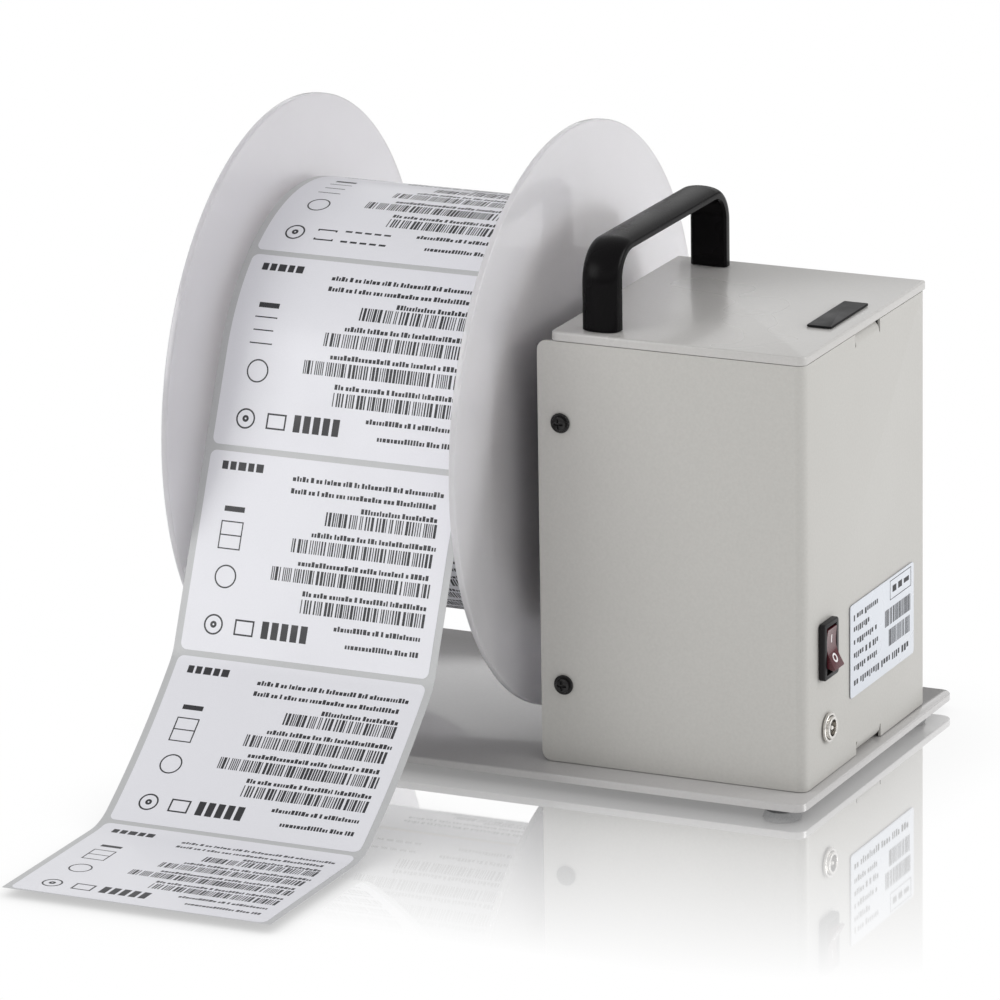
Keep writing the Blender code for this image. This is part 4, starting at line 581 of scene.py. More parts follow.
def slabs(marks, place, low, high, steps=1):
    """Thin closed boxes over rectangles (a0, a1, b0, b1); place maps (a, b, height) to a point in space."""
    a = marks[:, :2]
    share = np.linspace(0.0, 1.0, steps + 1)
    b = marks[:, 2:3] * (1 - share) + marks[:, 3:4] * share
    heights = np.array((low, high))
    a, b, heights = np.broadcast_arrays(a[:, None, :, None], b[:, :, None, None], heights[None, None, None])
    points = place(a, b, heights).reshape(len(marks), -1, 3)
    index = np.arange((steps + 1) * 4).reshape(steps + 1, 2, 2)
    first, second = index[:-1], index[1:]
    faces = np.vstack([
        np.stack([first[:, 0, 1], first[:, 1, 1], second[:, 1, 1], second[:, 0, 1]], 1),
        np.stack([first[:, 0, 0], second[:, 0, 0], second[:, 1, 0], first[:, 1, 0]], 1),
        np.stack([first[:, 0, 0], first[:, 0, 1], second[:, 0, 1], second[:, 0, 0]], 1),
        np.stack([first[:, 1, 0], second[:, 1, 0], second[:, 1, 1], first[:, 1, 1]], 1),
        index[0, [0, 1, 1, 0], [0, 0, 1, 1]][None],
        index[-1, [0, 0, 1, 1], [0, 1, 1, 0]][None],
    ])
    starts = np.arange(len(marks))[:, None, None] * points.shape[1]
    return points.reshape(-1, 3), [(faces + starts).reshape(-1, 4)]


def ring_slab(centre, outer, inner, place, low, high, steps=40):
    """A flat closed ring: radius and height go round a rectangle while t goes round the circle."""
    t = around(steps)[:, None]
    radius = np.array((inner, outer, outer, inner))[None]
    height = np.array((low, low, high, high))[None]
    a, b = centre[0] + radius * np.cos(t), centre[1] + radius * np.sin(t)
    points = place(a, b, np.broadcast_to(height, a.shape)).reshape(-1, 3)
    return points, [grid_faces(steps, 4, True, True)]


class REWINDER_OT_plates(Operator):
    """Makes the blank badge on the lid and the rating sticker with its plain blocks and bars"""

    bl_idname = "rewinder.plates"
    bl_label = "Badge and sticker"

    def execute(self, context):
        s = context.scene.rewinder_labels
        badge = grained(
            "Badge black", (0.006, 0.006, 0.007), 0.35, 0.0004, 2e-6, 0.2, 0.01, Specular_IOR_Level=0.12
        )
        low, high, middle = box_of("lid_badge")
        half = (high - low) / 2
        shape = soft_plate(half[0], half[1], BADGE_CORNER, middle[:2], low[2], high[2], BADGE_EDGE, "Z")
        make_piece("badge_plate", shape, badge, "chassis", ("lid_badge",))
        film = grained("Sticker film", (0.66, 0.69, 0.745), 0.28, 0.0009, 2e-6, 0.012, 0.02, Coat_Weight=0.3)
        low, high, middle = box_of("rating_label")
        half, face = (high - low) / 2, high[0] - STICKER_RECESS
        shape = soft_plate(half[1], half[2], STICKER_CORNER, middle[1:], low[0], face, STICKER_EDGE, "X")
        make_piece("rating_sticker", shape, film, "chassis", ("rating_label",))

        def place(a, b, height):
            y = low[1] + a * (high[1] - low[1])
            return np.stack([high[0] + height, y, low[2] + b * (high[2] - low[2])], -1)

        ink = grained("Sticker ink", s.ink_colour, 0.5, 0.0005, 1e-6, 0.3)
        shape = slabs(sticker_marks(np.random.default_rng(s.seed + 1)), place, INK_LOW, INK_HIGH)
        make_piece("rating_marks", shape, ink, "chassis")
        return {"FINISHED"}


# handle

SCREW_EDGE = 0.0003


def handle_section(s):
    """The section as (across, share of the way out): flat inside, chamfers, a back rising as sin(t)^crown."""
    half, chamfer = s.width / 2, s.edge / s.leg
    t = np.linspace(0.0, math.pi, 41)
    lift = 2 * chamfer + (1.0 - 2 * chamfer) * np.abs(np.sin(t)) ** s.crown
    back = np.stack([half * np.cos(t), lift], 1)
    inner = np.array(((-half, chamfer), (-half + s.edge, 0.0), (half - s.edge, 0.0), (half, chamfer)))
    return np.vstack([back, inner])


def handle_rail(half, foot, top, radius, middle):
    """An arch in (y, z): two legs, two quarter circles of the radius and a straight grip between them."""
    t = np.linspace(0.0, math.pi / 2, 33)
    near = np.stack([-np.cos(t), np.sin(t)], 1) * radius + (radius - half, top - radius)
    arch = np.vstack([(-half, foot), near, near[::-1] * (-1, 1), (half, foot)])
    return arch + (middle, 0.0)


class REWINDER_OT_handle(Operator):
    """Fills the handle between two arches, the flat inner face's and the crowned back's, and its screws"""

    bl_idname = "rewinder.handle"
    bl_label = "Carrying handle"

    def execute(self, context):
        s = context.scene.rewinder_handle
        low, _, middle = box_of("carry_handle")
        satin = grained("Satin black", s.colour, 0.27, 0.0006, 3e-6, 0.15, 0.02, Specular_IOR_Level=0.07)
        top = low[2] + s.inner_height
        inner = handle_rail(s.inner_half, low[2], top, s.inner_radius, middle[1])
        outer = handle_rail(s.inner_half + s.leg, low[2], top + s.grip, s.outer_radius, middle[1])
        section = handle_section(s)
        share = section[None, :, 1:]
        rest = inner[:, None] * (1 - share) + outer[:, None] * share
        across = middle[0] + np.broadcast_to(section[:, :1], (*rest.shape[:2], 1))
        shape = capped(np.concatenate([across, rest], -1))
        make_piece("handle_arch", shape, satin, "chassis", ("carry_handle",), 28.0)
        oxide = context.scene.rewinder_fasteners.colour
        black = grained("Handle screw black", oxide, 0.32, 0.0004, 4e-6, 0.25, Metallic=0.6)
        for name, side in (("front", -1), ("back", 1)):
            low, high, centre = box_of(f"handle_screw_{name}")
            leg = middle[1] + side * (s.inner_half + s.leg / 2)
            head, shank, under = (high[0] - low[0]) / 2, s.screw_shank, low[2] + s.screw_head
            profile = [(low[2], 0.0), (low[2], head - SCREW_EDGE), (low[2] + SCREW_EDGE, head), (under, head)]
            profile += [(under, shank), (high[2] - SCREW_EDGE, shank), (high[2], shank - SCREW_EDGE)]
            shape = lathe([*profile, (high[2], 0.0)], (centre[0], leg), "Z", 48, False)
            node = (f"handle_screw_{name}",)
            make_piece(f"handle_bolt_{name}", shape, black, "chassis", node)
        return {"FINISHED"}


# fasteners

CROWN_FALL, RIM_SHARE, RECESS_TAPER = 0.28, 0.6, 0.35
STEM_RADIUS, STEM_LENGTH = 0.0015, 0.004


def crossed_head(s, seat, outwards, centre, axis, washer):
    """A crowned head on a polar grid: crown (1 - fall (r/R)^3), less the cross where |a| or |b| is small."""
    shares = np.concatenate([np.linspace(0.0, 0.72, 25), np.linspace(0.75, 0.97, 8)])
    t = around(96)[None]
    r = shares[:, None] * s.head_radius
    a, b = r * np.cos(t), r * np.sin(t)
    start = s.washer_thickness if washer else 0.0
    wide, long, step = s.recess_width / 2, s.recess_length / 2, s.recess_width / 4

    def inside(first, second):
        edge = np.clip((wide - np.abs(first)) / step + 0.5, 0.0, 1.0)
        return edge * np.clip((long - np.abs(second)) / step + 0.5, 0.0, 1.0)

    slot = np.maximum(inside(a, b), inside(b, a))
    crown = start + s.head_height * (1.0 - CROWN_FALL * (r / s.head_radius) ** 3)
    height = crown - s.recess_depth * slot * (1.0 - RECESS_TAPER * r / long)
    rim = [(s.head_radius, start + RIM_SHARE * s.head_height), (s.head_radius, start)]
    if washer:
        w, ease = s.washer_radius, s.washer_thickness / 4
        rim += [(w - ease, start), (w, start - ease), (w, ease), (w - ease, 0.0)]
    rim = np.array([*rim, (STEM_RADIUS, 0.0), (STEM_RADIUS, -STEM_LENGTH), (0.0, -STEM_LENGTH)])
    rim = np.broadcast_to(rim[..., None], (*rim.shape, t.size))
    radii, heights = np.vstack([np.broadcast_to(r, a.shape), rim[:, 0]]), np.vstack([height, rim[:, 1]])
    return revolved(seat + outwards * heights, radii, t, centre, axis)


class REWINDER_OT_fasteners(Operator):
    """Turns the crowned heads, washers and cross recesses of the cover and bearing block screws"""

    bl_idname = "rewinder.fasteners"
    bl_label = "Screws"

    def execute(self, context):
        s = context.scene.rewinder_fasteners
        black = grained("Black oxide", s.colour, 0.30, 0.0004, 4e-6, 0.25, 0.004, Metallic=0.6)
        for place in (f"{end}_{level}" for end in ("front", "back") for level in ("upper", "lower")):
            low, high, middle = box_of(f"cover_screw_{place}")
            outwards, face = (-1, low[1]) if place.startswith("front") else (1, high[1])
            seat = face - outwards * (s.washer_thickness + s.head_height)
            shape = crossed_head(s, seat, outwards, middle[[0, 2]], "Y", True)
            node = (f"cover_screw_{place}",)
            make_piece(f"cover_bolt_{place}", shape, black, "chassis", node, 38.0)
        for place in (f"{level}_{end}" for level in ("upper", "lower") for end in ("front", "back")):
            low, _, middle = box_of(f"block_screw_{place}")
            shape = crossed_head(s, low[0] + s.head_height, -1, middle[1:], "X", False)
            node = (f"block_screw_{place}",)
            make_piece(f"block_bolt_{place}", shape, black, "chassis", node, 38.0)
        return {"FINISHED"}


# switch and power inlet

ROCKER_DEPTH, ROCKER_BACK, ROCKER_LEAN, ROCKER_SKIRT = 0.0038, 0.005, 0.0005, 0.001
ROCKER_EDGE, ROCKER_EDGE_SHARE, BEZEL_EDGE = 0.0005, 0.95, 0.00025
MARK_LOW, MARK_HIGH = -1e-4, 6e-5
ON_BAR = (-0.0004, 0.0004, 0.0024, 0.0056)
OFF_RING = ((0.0, -0.0040), 0.0019, 0.0011)
NUT_BORE, NUT_EDGE = 0.0049, 0.0005
JACK_RADIUS, BARREL_RADIUS, MOUTH_RADIUS, PIN_RADIUS, PIN_TIP_RADIUS = 0.0055, 0.0046, 0.0034, 0.0010, 0.0006
JACK_SEAT, SOCKET_DEPTH, PIN_SHOULDER, PIN_RECESS, JACK_EDGE = 0.0015, 0.0095, 0.0008, 0.0002, 0.0002
CORE_OUTSIDE, CORE_INSIDE, CORE_LENGTH, CORE_RECESS = 0.0033, 0.0011, 0.0012, 0.0042


def rocker_face(s, t):
    """How far the rocker's face stands over the pivot: middle + (end - middle) |t|^1.5, t from -1 to 1."""
    return s.rocker_middle + (s.rocker_end - s.rocker_middle) * np.abs(t) ** 1.5


class REWINDER_OT_switch(Operator):
    """Makes the switch's frame, its rocker with the on and off marks, and the power inlet"""

    bl_idname = "rewinder.switch"
    bl_label = "Switch and inlet"

    def execute(self, context):
        s = context.scene.rewinder_switch
        black = grained(
            "Switch black", s.housing_colour, 0.40, 0.0004, 6e-6, 0.2, 0.01, Specular_IOR_Level=0.25
        )
        red = grained("Rocker red", s.rocker_colour, 0.26, 0.0006, 4e-6, 0.12, 0.01, Coat_Weight=0.3)
        white = grained("Mark white", s.mark_colour, 0.4, 0.0004, 1e-6, 0.03)
        eased_copy("switch_housing", "switch_frame", black, "chassis", BEZEL_EDGE, 2)
        _, high, middle = box_of("switch_housing")
        pivot = np.array((high[0] - s.rocker_behind, middle[1], middle[2]))
        cos, sin = math.cos(s.rocker_tilt), math.sin(s.rocker_tilt)

        def tilted(out, up):
            return out * cos - up * sin, out * sin + up * cos

        def on_rocker(across, up, height):
            x, z = tilted(rocker_face(s, up / s.rocker_half) + height, up)
            return np.stack([pivot[0] + x, pivot[1] + across, pivot[2] + z], -1)

        t = np.linspace(-1.0, 1.0, 33)
        face = np.stack([rocker_face(s, t), t * s.rocker_half], 1)
        skirt, reach = s.rocker_end - ROCKER_SKIRT, s.rocker_half + ROCKER_LEAN
        back = [(skirt, reach), (-ROCKER_DEPTH, ROCKER_BACK), (-ROCKER_DEPTH, -ROCKER_BACK), (skirt, -reach)]
        outline = np.stack(tilted(*np.vstack([face, back]).T), 1) + pivot[[0, 2]]
        centre = outline.mean(0)
        shrunk = centre + (outline - centre) * ROCKER_EDGE_SHARE
        half = s.rocker_width / 2
        places = pivot[1] + np.array((-half, -half + ROCKER_EDGE, half - ROCKER_EDGE, half))
        shape = stacked([shrunk, outline, outline, shrunk], places, "Y")
        make_piece("rocker_button", shape, red, "rocker", ("power_rocker",), 50.0)
        line = slabs(np.array((ON_BAR,)), on_rocker, MARK_LOW, MARK_HIGH, 6)
        ring = ring_slab(*OFF_RING, on_rocker, MARK_LOW, MARK_HIGH)
        make_piece("rocker_marks", gathered([line, ring]), white, "rocker")
        self.inlet(s)
        return {"FINISHED"}

    def inlet(self, s):
        """Turns the nut, the barrel with its socket and pin, and the black core round the pin."""
        nickel = grained("Bright nickel", s.nickel_colour, 0.16, 0.0006, 5e-6, 0.05, 0.004, Metallic=1.0)
        socket = grained("Inlet black", (0.02, 0.02, 0.021), 0.4, 0.0004, 5e-6, 0.2)
        low, high, middle = box_of("jack_nut")
        radius = (high[2] - low[2]) / 2
        shape = lathe(softened(tube(low[0], high[0], NUT_BORE, radius), NUT_EDGE), middle[1:])
        make_piece("inlet_nut", shape, nickel, "chassis", ("jack_nut",))
        low, high, middle = box_of("power_jack")
        seat, mouth, bottom = COVER_HIGH[0] - JACK_SEAT, high[0], high[0] - SOCKET_DEPTH
        shoulder, tip = mouth - PIN_SHOULDER, mouth - PIN_RECESS
        profile = [(low[0], 0.0), (low[0], JACK_RADIUS), (seat, JACK_RADIUS), (seat, BARREL_RADIUS)]
        profile += [(mouth, BARREL_RADIUS), (mouth, MOUTH_RADIUS), (bottom, MOUTH_RADIUS)]
        profile += [(bottom, PIN_RADIUS), (shoulder, PIN_RADIUS), (tip, PIN_TIP_RADIUS), (tip, 0.0)]
        shape = lathe(softened(profile, JACK_EDGE, 3, False), middle[1:], "X", 64, False)
        make_piece("inlet_socket", shape, nickel, "chassis", ("power_jack",))
        profile = softened(tube(0.0, CORE_LENGTH, CORE_INSIDE, CORE_OUTSIDE), JACK_EDGE, 3)
        profile += (high[0] - CORE_RECESS, 0.0)
        make_piece("inlet_core", lathe(profile, middle[1:], "X", 64), socket, "chassis")


# spindle, hubs, core and lock screw

SHAFT_RADIUS, SEAT_RADIUS, SHAFT_EDGE = 0.006, 0.005, 0.0007
HUB_PLATE, HUB_FILLET, HUB_RADIUS, HUB_EDGE = 0.003, 0.003, 0.028, 0.0006
BOSS_RADIUS, BOSS_EDGE = 0.014, 0.0007
DRUM_RADIUS, DRUM_INSIDE, DRUM_HUB, DRUM_PLATE, DRUM_EDGE = 0.0378, 0.0348, 0.012, 0.005, 0.0006
TUBE_INSIDE, TUBE_OUTSIDE, TUBE_EDGE = 0.0381, 0.0421, 0.0005
KNOB_HEIGHT, KNOB_RADIUS, KNOB_EDGE = 0.009, 0.0055, 0.0009
NECK_RADIUS, NECK_HEIGHT, THREAD_RADIUS = 0.003, 0.0018, 0.0015
LOBES, LOBE_DEPTH, LOBE_FROM = 12, 0.09, 0.0045


def hub_profile(face, outwards, length_out):
    """A hub against a flange: a plate, a hollow quarter-circle fillet and a boss round the shaft."""
    t = np.linspace(0.0, math.pi / 2, 9)
    curve = HUB_FILLET * (1 - np.stack([np.cos(t), np.sin(t)], 1)) + (HUB_PLATE, BOSS_RADIUS)
    plate = softened([(0.0, SHAFT_BORE), (0.0, HUB_RADIUS), (HUB_PLATE, HUB_RADIUS)], HUB_EDGE, 4, False)
    tip = softened([curve[-1], (length_out, BOSS_RADIUS), (length_out, SHAFT_BORE)], BOSS_EDGE, 4, False)
    return np.vstack([plate, curve, tip]) * (outwards, 1) + (face, 0.0)


class REWINDER_OT_spindle(Operator):
    """Turns the shaft, the core and its mandrel, the two hubs and the scalloped lock screw"""

    bl_idname = "rewinder.spindle"
    bl_label = "Spindle"

    def execute(self, context):
        flanges = context.scene.rewinder_flanges
        steel = grained(
            "Ground steel", (0.55, 0.55, 0.56), 0.24, 0.0003, 2e-6, 0.06, 0.01, (0.2, 3.0, 3.0), Metallic=1.0
        )
        moulded = grained("Moulded black", flanges.hub_colour, 0.42, 0.0006, 1e-5, 0.15, 0.01)
        board = ringed("Core board", ((0.36, 0.25, 0.15), (0.50, 0.37, 0.23)), 0.75, AXIS, 0.0006, 3e-5)
        low, high, _ = box_of("spindle_shaft")
        seat = box_of("inner_flange_hub")[1][0]
        profile = [(low[0], 0.0), (low[0], SHAFT_RADIUS), (seat, SHAFT_RADIUS), (seat, SEAT_RADIUS)]
        profile = softened([*profile, (high[0], SEAT_RADIUS), (high[0], 0.0)], SHAFT_EDGE, 4, False)
        shape = lathe(profile, AXIS, "X", 96, False)
        make_piece("spindle_bar", shape, steel, "spool", ("spindle_shaft",))
        for name, body, outwards in (("inner", "spool", 1), ("outer", "outer_flange", -1)):
            low, high, _ = box_of(f"{name}_flange_hub")
            profile = hub_profile(low[0] if outwards > 0 else high[0], outwards, high[0] - low[0])
            shape = lathe(profile, AXIS, "X", 128)
            make_piece(f"{name}_hub", shape, moulded, body, (f"{name}_flange_hub",))
        low, high, _ = box_of("core_mandrel")
        profile = []
        for end, side in ((low[0], -1), (high[0], 1)):
            plate = ROLL_MIDDLE[0] + side * DRUM_PLATE / 2
            half = [(end, SHAFT_BORE), (end, DRUM_HUB), (plate, DRUM_HUB), (plate, DRUM_INSIDE)]
            profile += [*half, (end, DRUM_INSIDE), (end, DRUM_RADIUS)][::-side]
        shape = lathe(softened(profile, DRUM_EDGE, 3), AXIS)
        make_piece("mandrel_drum", shape, moulded, "spool", ("core_mandrel",))
        low, high, _ = box_of("paper_core")
        shape = lathe(softened(tube(low[0], high[0], TUBE_INSIDE, TUBE_OUTSIDE), TUBE_EDGE, 3), AXIS)
        make_piece("core_tube", shape, board, "spool", ("paper_core",))
        self.knob(context.scene.rewinder_fasteners)
        return {"FINISHED"}

    def knob(self, s):
        """Radius = profile (1 - depth (1 - cos lobes t) / 2): a turned knob with scallops round it."""
        low, high, middle = box_of("lock_screw")
        black = grained("Knob black", s.colour, 0.33, 0.0004, 5e-6, 0.2, 0.004, Metallic=0.3)
        under = high[2] - KNOB_HEIGHT
        neck = under - NECK_HEIGHT
        stem = [(low[2], 0.0), (low[2], THREAD_RADIUS), (neck, THREAD_RADIUS), (neck, NECK_RADIUS)]
        knob = [(under, NECK_RADIUS), (under, KNOB_RADIUS), (high[2], KNOB_RADIUS), (high[2], 0.0)]
        profile = np.vstack([stem, softened(knob, KNOB_EDGE, 5, False)])
        along, radius, t = profile[:, :1], profile[:, 1:], around(144)[None]
        scallop = 1.0 - LOBE_DEPTH * (1 - np.cos(LOBES * t)) / 2 * (radius > LOBE_FROM)
        shape = revolved(along, radius * scallop, t, middle[:2], "Z")
        make_piece("lock_knob", shape, black, "lock_screw", ("lock_screw",))


class REWINDER_OT_flanges(Operator):
    """Turns the two milky discs with their polished rims"""

    bl_idname = "rewinder.flanges"
    bl_label = "Flanges"

    def execute(self, context):
        s = context.scene.rewinder_flanges
        # Painted light: the same acrylic takes a lighter, lit colour on the inner disc and a darker, shaded one
        # on the outer disc.
        colours = s.inner_lit_colour, s.outer_shaded_colour
        for name, body, colour in zip(("inner", "outer"), ("spool", "outer_flange"), colours):
            acrylic = milky(f"{name.capitalize()} disc acrylic", colour, s.roughness, s.through, s.depth)
            low, high, _ = box_of(f"{name}_flange")
            radius = (high[2] - low[2]) / 2
            shape = lathe(softened(tube(low[0], high[0], SHAFT_BORE, radius), s.edge, 5), AXIS, "X", 288)
            make_piece(f"{name}_disc", shape, acrylic, body, (f"{name}_flange",), 50.0)
        return {"FINISHED"}


# labels: one label's print in millimetres from its left edge and upper end. Rows of bars are (top, start),
# rows of blocks (top, start, end), boxes (across from, to, along from, to) and rings (centre, outer, inner).

BAR_ROWS = ((20.0, 55.0), (32.0, 42.0), (44.0, 35.0), (56.0, 50.0))
BLOCK_ROWS = (
    (7.0, 38.0, 105.0), (12.0, 38.0, 103.0), (17.2, 70.0, 105.0), (28.6, 50.0, 105.0),
    (40.6, 46.0, 105.0), (52.6, 50.0, 105.0), (65.0, 66.0, 105.0), (71.5, 72.0, 105.0),
)
BARS_END, BAR_HEIGHT, BLOCK_HEIGHT = 105.0, 5.6, 2.1
BOXES = (
    *((a, b, 4.0, 7.4) for a, b in ((6.0, 8.6), (9.6, 12.2), (13.2, 16.6), (17.6, 20.2), (21.2, 24.4))),
    (10.0, 19.0, 22.0, 24.2), (9.5, 10.0, 28.0, 39.5), (18.9, 19.4, 28.0, 39.5),
    (10.0, 18.9, 28.0, 28.5), (10.0, 18.9, 39.0, 39.5), (10.0, 18.9, 33.5, 34.0),
    (22.4, 23.1, 67.0, 73.5), (30.3, 31.0, 67.0, 73.5), (23.1, 30.3, 67.0, 67.7), (23.1, 30.3, 72.8, 73.5),
    *((a, a + 3.0, 66.6, 73.6) for a in (34.5, 38.8, 43.1, 47.4, 51.7)),
)
RINGS = (((15.0, 50.5), 4.8, 4.2), ((13.0, 70.2), 4.2, 3.5), ((13.0, 70.2), 1.4, 0.4))
INK_SUNK = 5e-5


def label_marks(rng):
    """Bars, and blocks with boxes, as rows (across from, across to, along from, along to)."""
    bars, blocks = [], []
    for top, start in BAR_ROWS:
        bars += bars_in_row(rng, start, BARS_END, top, top + BAR_HEIGHT, 0.42, 1.15)
    for top, start, end in BLOCK_ROWS:
        blocks += blocks_in_row(rng, start, end, top, top + BLOCK_HEIGHT, 1.05, 0.42)
    return np.array(bars), np.array([*blocks, *BOXES])


def band(across, along, low, high, place):
    """A closed flat tube with its corners at the four values across, low or high, all the way along."""
    return capped(place(*np.broadcast_arrays(across, along[:, None], np.array((low, low, high, high)))))


def label_plate(long, width, corner, place, low, high):
    """A rounded label on a curved face: d from an end its half width is W - r + sqrt(r^2 - (r - d)^2)."""
    ends = corner * (1 - np.cos(np.linspace(0.0, math.pi / 2, 9)))
    d = np.concatenate([ends, np.linspace(corner, long - corner, 34)[1:-1], long - ends[::-1]])
    near = np.minimum(np.minimum(d, long - d), corner)
    half = width / 2 - corner + np.sqrt(np.maximum(corner**2 - (corner - near) ** 2, 0.0))
    return band(width / 2 + half[:, None] * (-1.0, 1.0, 1.0, -1.0), d, low, high, place)


def label_print(s, long, cut, place, face):
    """The marks that lie wholly on a label of which cut is missing at its start, as thin slabs and rings."""

    def shifted(across, along, height):
        return place(across, along - cut, height)

    low, high = face - INK_SUNK, face + s.print_thickness
    prints = []
    for marks, steps in zip(label_marks(np.random.default_rng(s.seed)), (2, 1)):
        marks = marks * MM
        marks = marks[(marks[:, 3] - cut < long - MM) & (marks[:, 2] > cut + MM)]
        if len(marks):
            prints.append(slabs(marks, shifted, low, high, steps))
    for (across, along), outer, inner in RINGS:
        if cut + MM < (along - outer) * MM and (along + outer) * MM - cut < long - MM:
            prints.append(ring_slab((across * MM, along * MM), outer * MM, inner * MM, shifted, low, high))
    return prints


def printed_labels(s, starts, ends, place, face, cut=0.0):
    """Plates and print of labels from each start to each end, face high; the first one lacks its first cut."""
    width = WEB_HIGH[0] - WEB_LOW[0] - 2 * s.margin
    plates, prints = [], []
    for start, end in zip(starts, ends):

        def there(across, along, height, start=start):
            return place(across + s.margin, along + start, height)

        plates.append(label_plate(end - start, width, s.corner, there, face - s.thickness, face))
        prints += label_print(s, end - start, cut, there, face)
        cut = 0.0
    return gathered(plates), gathered(prints)


def label_finishes(s):
    """The paper, liner and ink, made once and shared by the strip and the roll."""
    if "Label paper" not in bpy.data.materials:
        grained("Label paper", s.paper_colour, 0.36, 0.0006, 3e-6, 0.012, 0.03, Coat_Weight=0.12)
        grained("Glassine liner", s.liner_colour, 0.34, 0.0008, 4e-6, 0.02, 0.03)
        grained("Thermal ink", s.ink_colour, 0.42, 0.0004, 1e-6, 0.35, 0.01)
    return [bpy.data.materials[n] for n in ("Label paper", "Glassine liner", "Thermal ink")]


# the wound roll and the hanging strip

LINE_STEP = 0.00025
LAYERS, LAYER_STEP, ROLL_BORE, ROLL_INSET, ROLL_CROWN = 52, 0.00016, 0.0424, 0.0002, 0.0004
LINER_STEPS, LINER_LIFT = 236, 5e-5
STRIP_START, STRIP_END, LEAST_LABEL = 0.0002, 0.0004, 0.01


def strip_line(s):
    """The strip's outer face in (y, z) and its heading, by adding up short steps.

    Its heading below the horizontal grows evenly round the roll, stays while it hangs, falls through two
    bends and a slow curve, and is level along the floor.
    """
    radius, leave = s.radius, s.leave
    wound = (s.start - math.pi / 2, leave, (leave + math.pi / 2 - s.start) * radius)
    bends = [
        (leave, s.first_bend, s.first_bend_length),
        (s.first_bend, s.slope_end, s.slope_length),
        (s.slope_end, 0.0, s.second_bend_length),
    ]
    drop = sum(n * (math.cos(b) - math.cos(a)) / (a - b) for a, b, n in bends)
    leaves_at = AXIS[1] + radius * math.cos(leave)
    hang = (leaves_at - (WEB_LOW[2] + s.thickness) - drop) / math.sin(leave)
    stretches = [wound, (leave, leave, hang), *bends]
    counts = [max(8, round(n / LINE_STEP)) for _, _, n in stretches]
    counted = list(zip(stretches, counts))
    headings = np.concatenate([a + (b - a) * (np.arange(c) + 0.5) / c for (a, b, _), c in counted])
    steps = np.concatenate([np.full(c, n / c) for (_, _, n), c in counted])
    start = AXIS + radius * np.array((math.cos(s.start), math.sin(s.start)))
    moves = np.stack([-np.cos(headings), -np.sin(headings)], 1) * steps[:, None]
    points = np.vstack([start, start + np.cumsum(moves, 0)])
    tail = points[-1, 0] - WEB_LOW[1]
    points = np.vstack([points, points[-1] - (tail, 0.0)])
    headings = np.concatenate([headings[:1], (headings[1:] + headings[:-1]) / 2, [0.0, 0.0]])
    along = np.concatenate([[0.0], np.cumsum(steps), [steps.sum() + tail]])
    return along, points, headings


class Winding:
    """Maps (across, along, height over the paper's outer face) to a point on the strip or on the roll."""

    def __init__(self, settings, left):
        self.left, self.radius, self.start = left, settings.radius, settings.start
        self.along, self.points, self.headings = strip_line(settings)
        self.length = self.along[-1]

    def on_strip(self, across, along, height):
        y, z = (np.interp(along, self.along, self.points[:, k]) for k in (0, 1))
        heading = np.interp(along, self.along, self.headings)
        return np.stack([self.left + across, y - height * np.sin(heading), z + height * np.cos(heading)], -1)

    def on_roll(self, across, along, height):
        angle = self.start + along / self.radius
        radius = self.radius + height
        y, z = AXIS[0] + radius * np.cos(angle), AXIS[1] + radius * np.sin(angle)
        return np.stack([self.left + across, y, z], -1)


class REWINDER_OT_roll(Operator):
    """Winds the roll: its side faces show the layers, and labels run on round its outside"""

    bl_idname = "rewinder.roll"
    bl_label = "Wound roll"

    def execute(self, context):
        labels, s = context.scene.rewinder_labels, context.scene.rewinder_strip
        paper, _, ink = label_finishes(labels)
        outer = (ROLL_HIGH[2] - ROLL_LOW[2]) / 2
        radii = np.linspace(ROLL_BORE, outer - ROLL_CROWN, LAYERS)
        step = np.random.default_rng(labels.seed + 5).uniform(-LAYER_STEP, LAYER_STEP, (2, LAYERS))
        left = np.stack([ROLL_LOW[0] + ROLL_INSET + step[0], radii], 1)
        right = np.stack([ROLL_HIGH[0] - ROLL_INSET + step[1], radii], 1)
        shape = lathe(np.vstack([left, right[::-1]]), AXIS, "X", 160)
        # Painted shade, in part: the rings are the paper's own layers, but their warm brown darkness stands in
        # for the warm shade in the narrow gap between roll and disc, seen through the acrylic.
        layers = ringed("Wound layers", ((0.56, 0.49, 0.43), (0.80, 0.74, 0.68)), 0.6, AXIS, 0.0005, 3e-5)
        make_piece("wound_roll", shape, layers, "spool", ("label_roll",), 60.0)
        count = int(2 * math.pi * s.radius / labels.pitch)
        first = labels.first_gap - labels.pitch - np.arange(count) * labels.pitch
        starts, ends = first + labels.gap / 2, first + labels.pitch - labels.gap / 2
        face = outer - s.radius - labels.print_thickness
        plates, prints = printed_labels(labels, starts, ends, Winding(s, ROLL_LOW[0]).on_roll, face)
        make_piece("roll_labels", plates, paper, "spool")
        make_piece("roll_print", prints, ink, "spool")
        return {"FINISHED"}


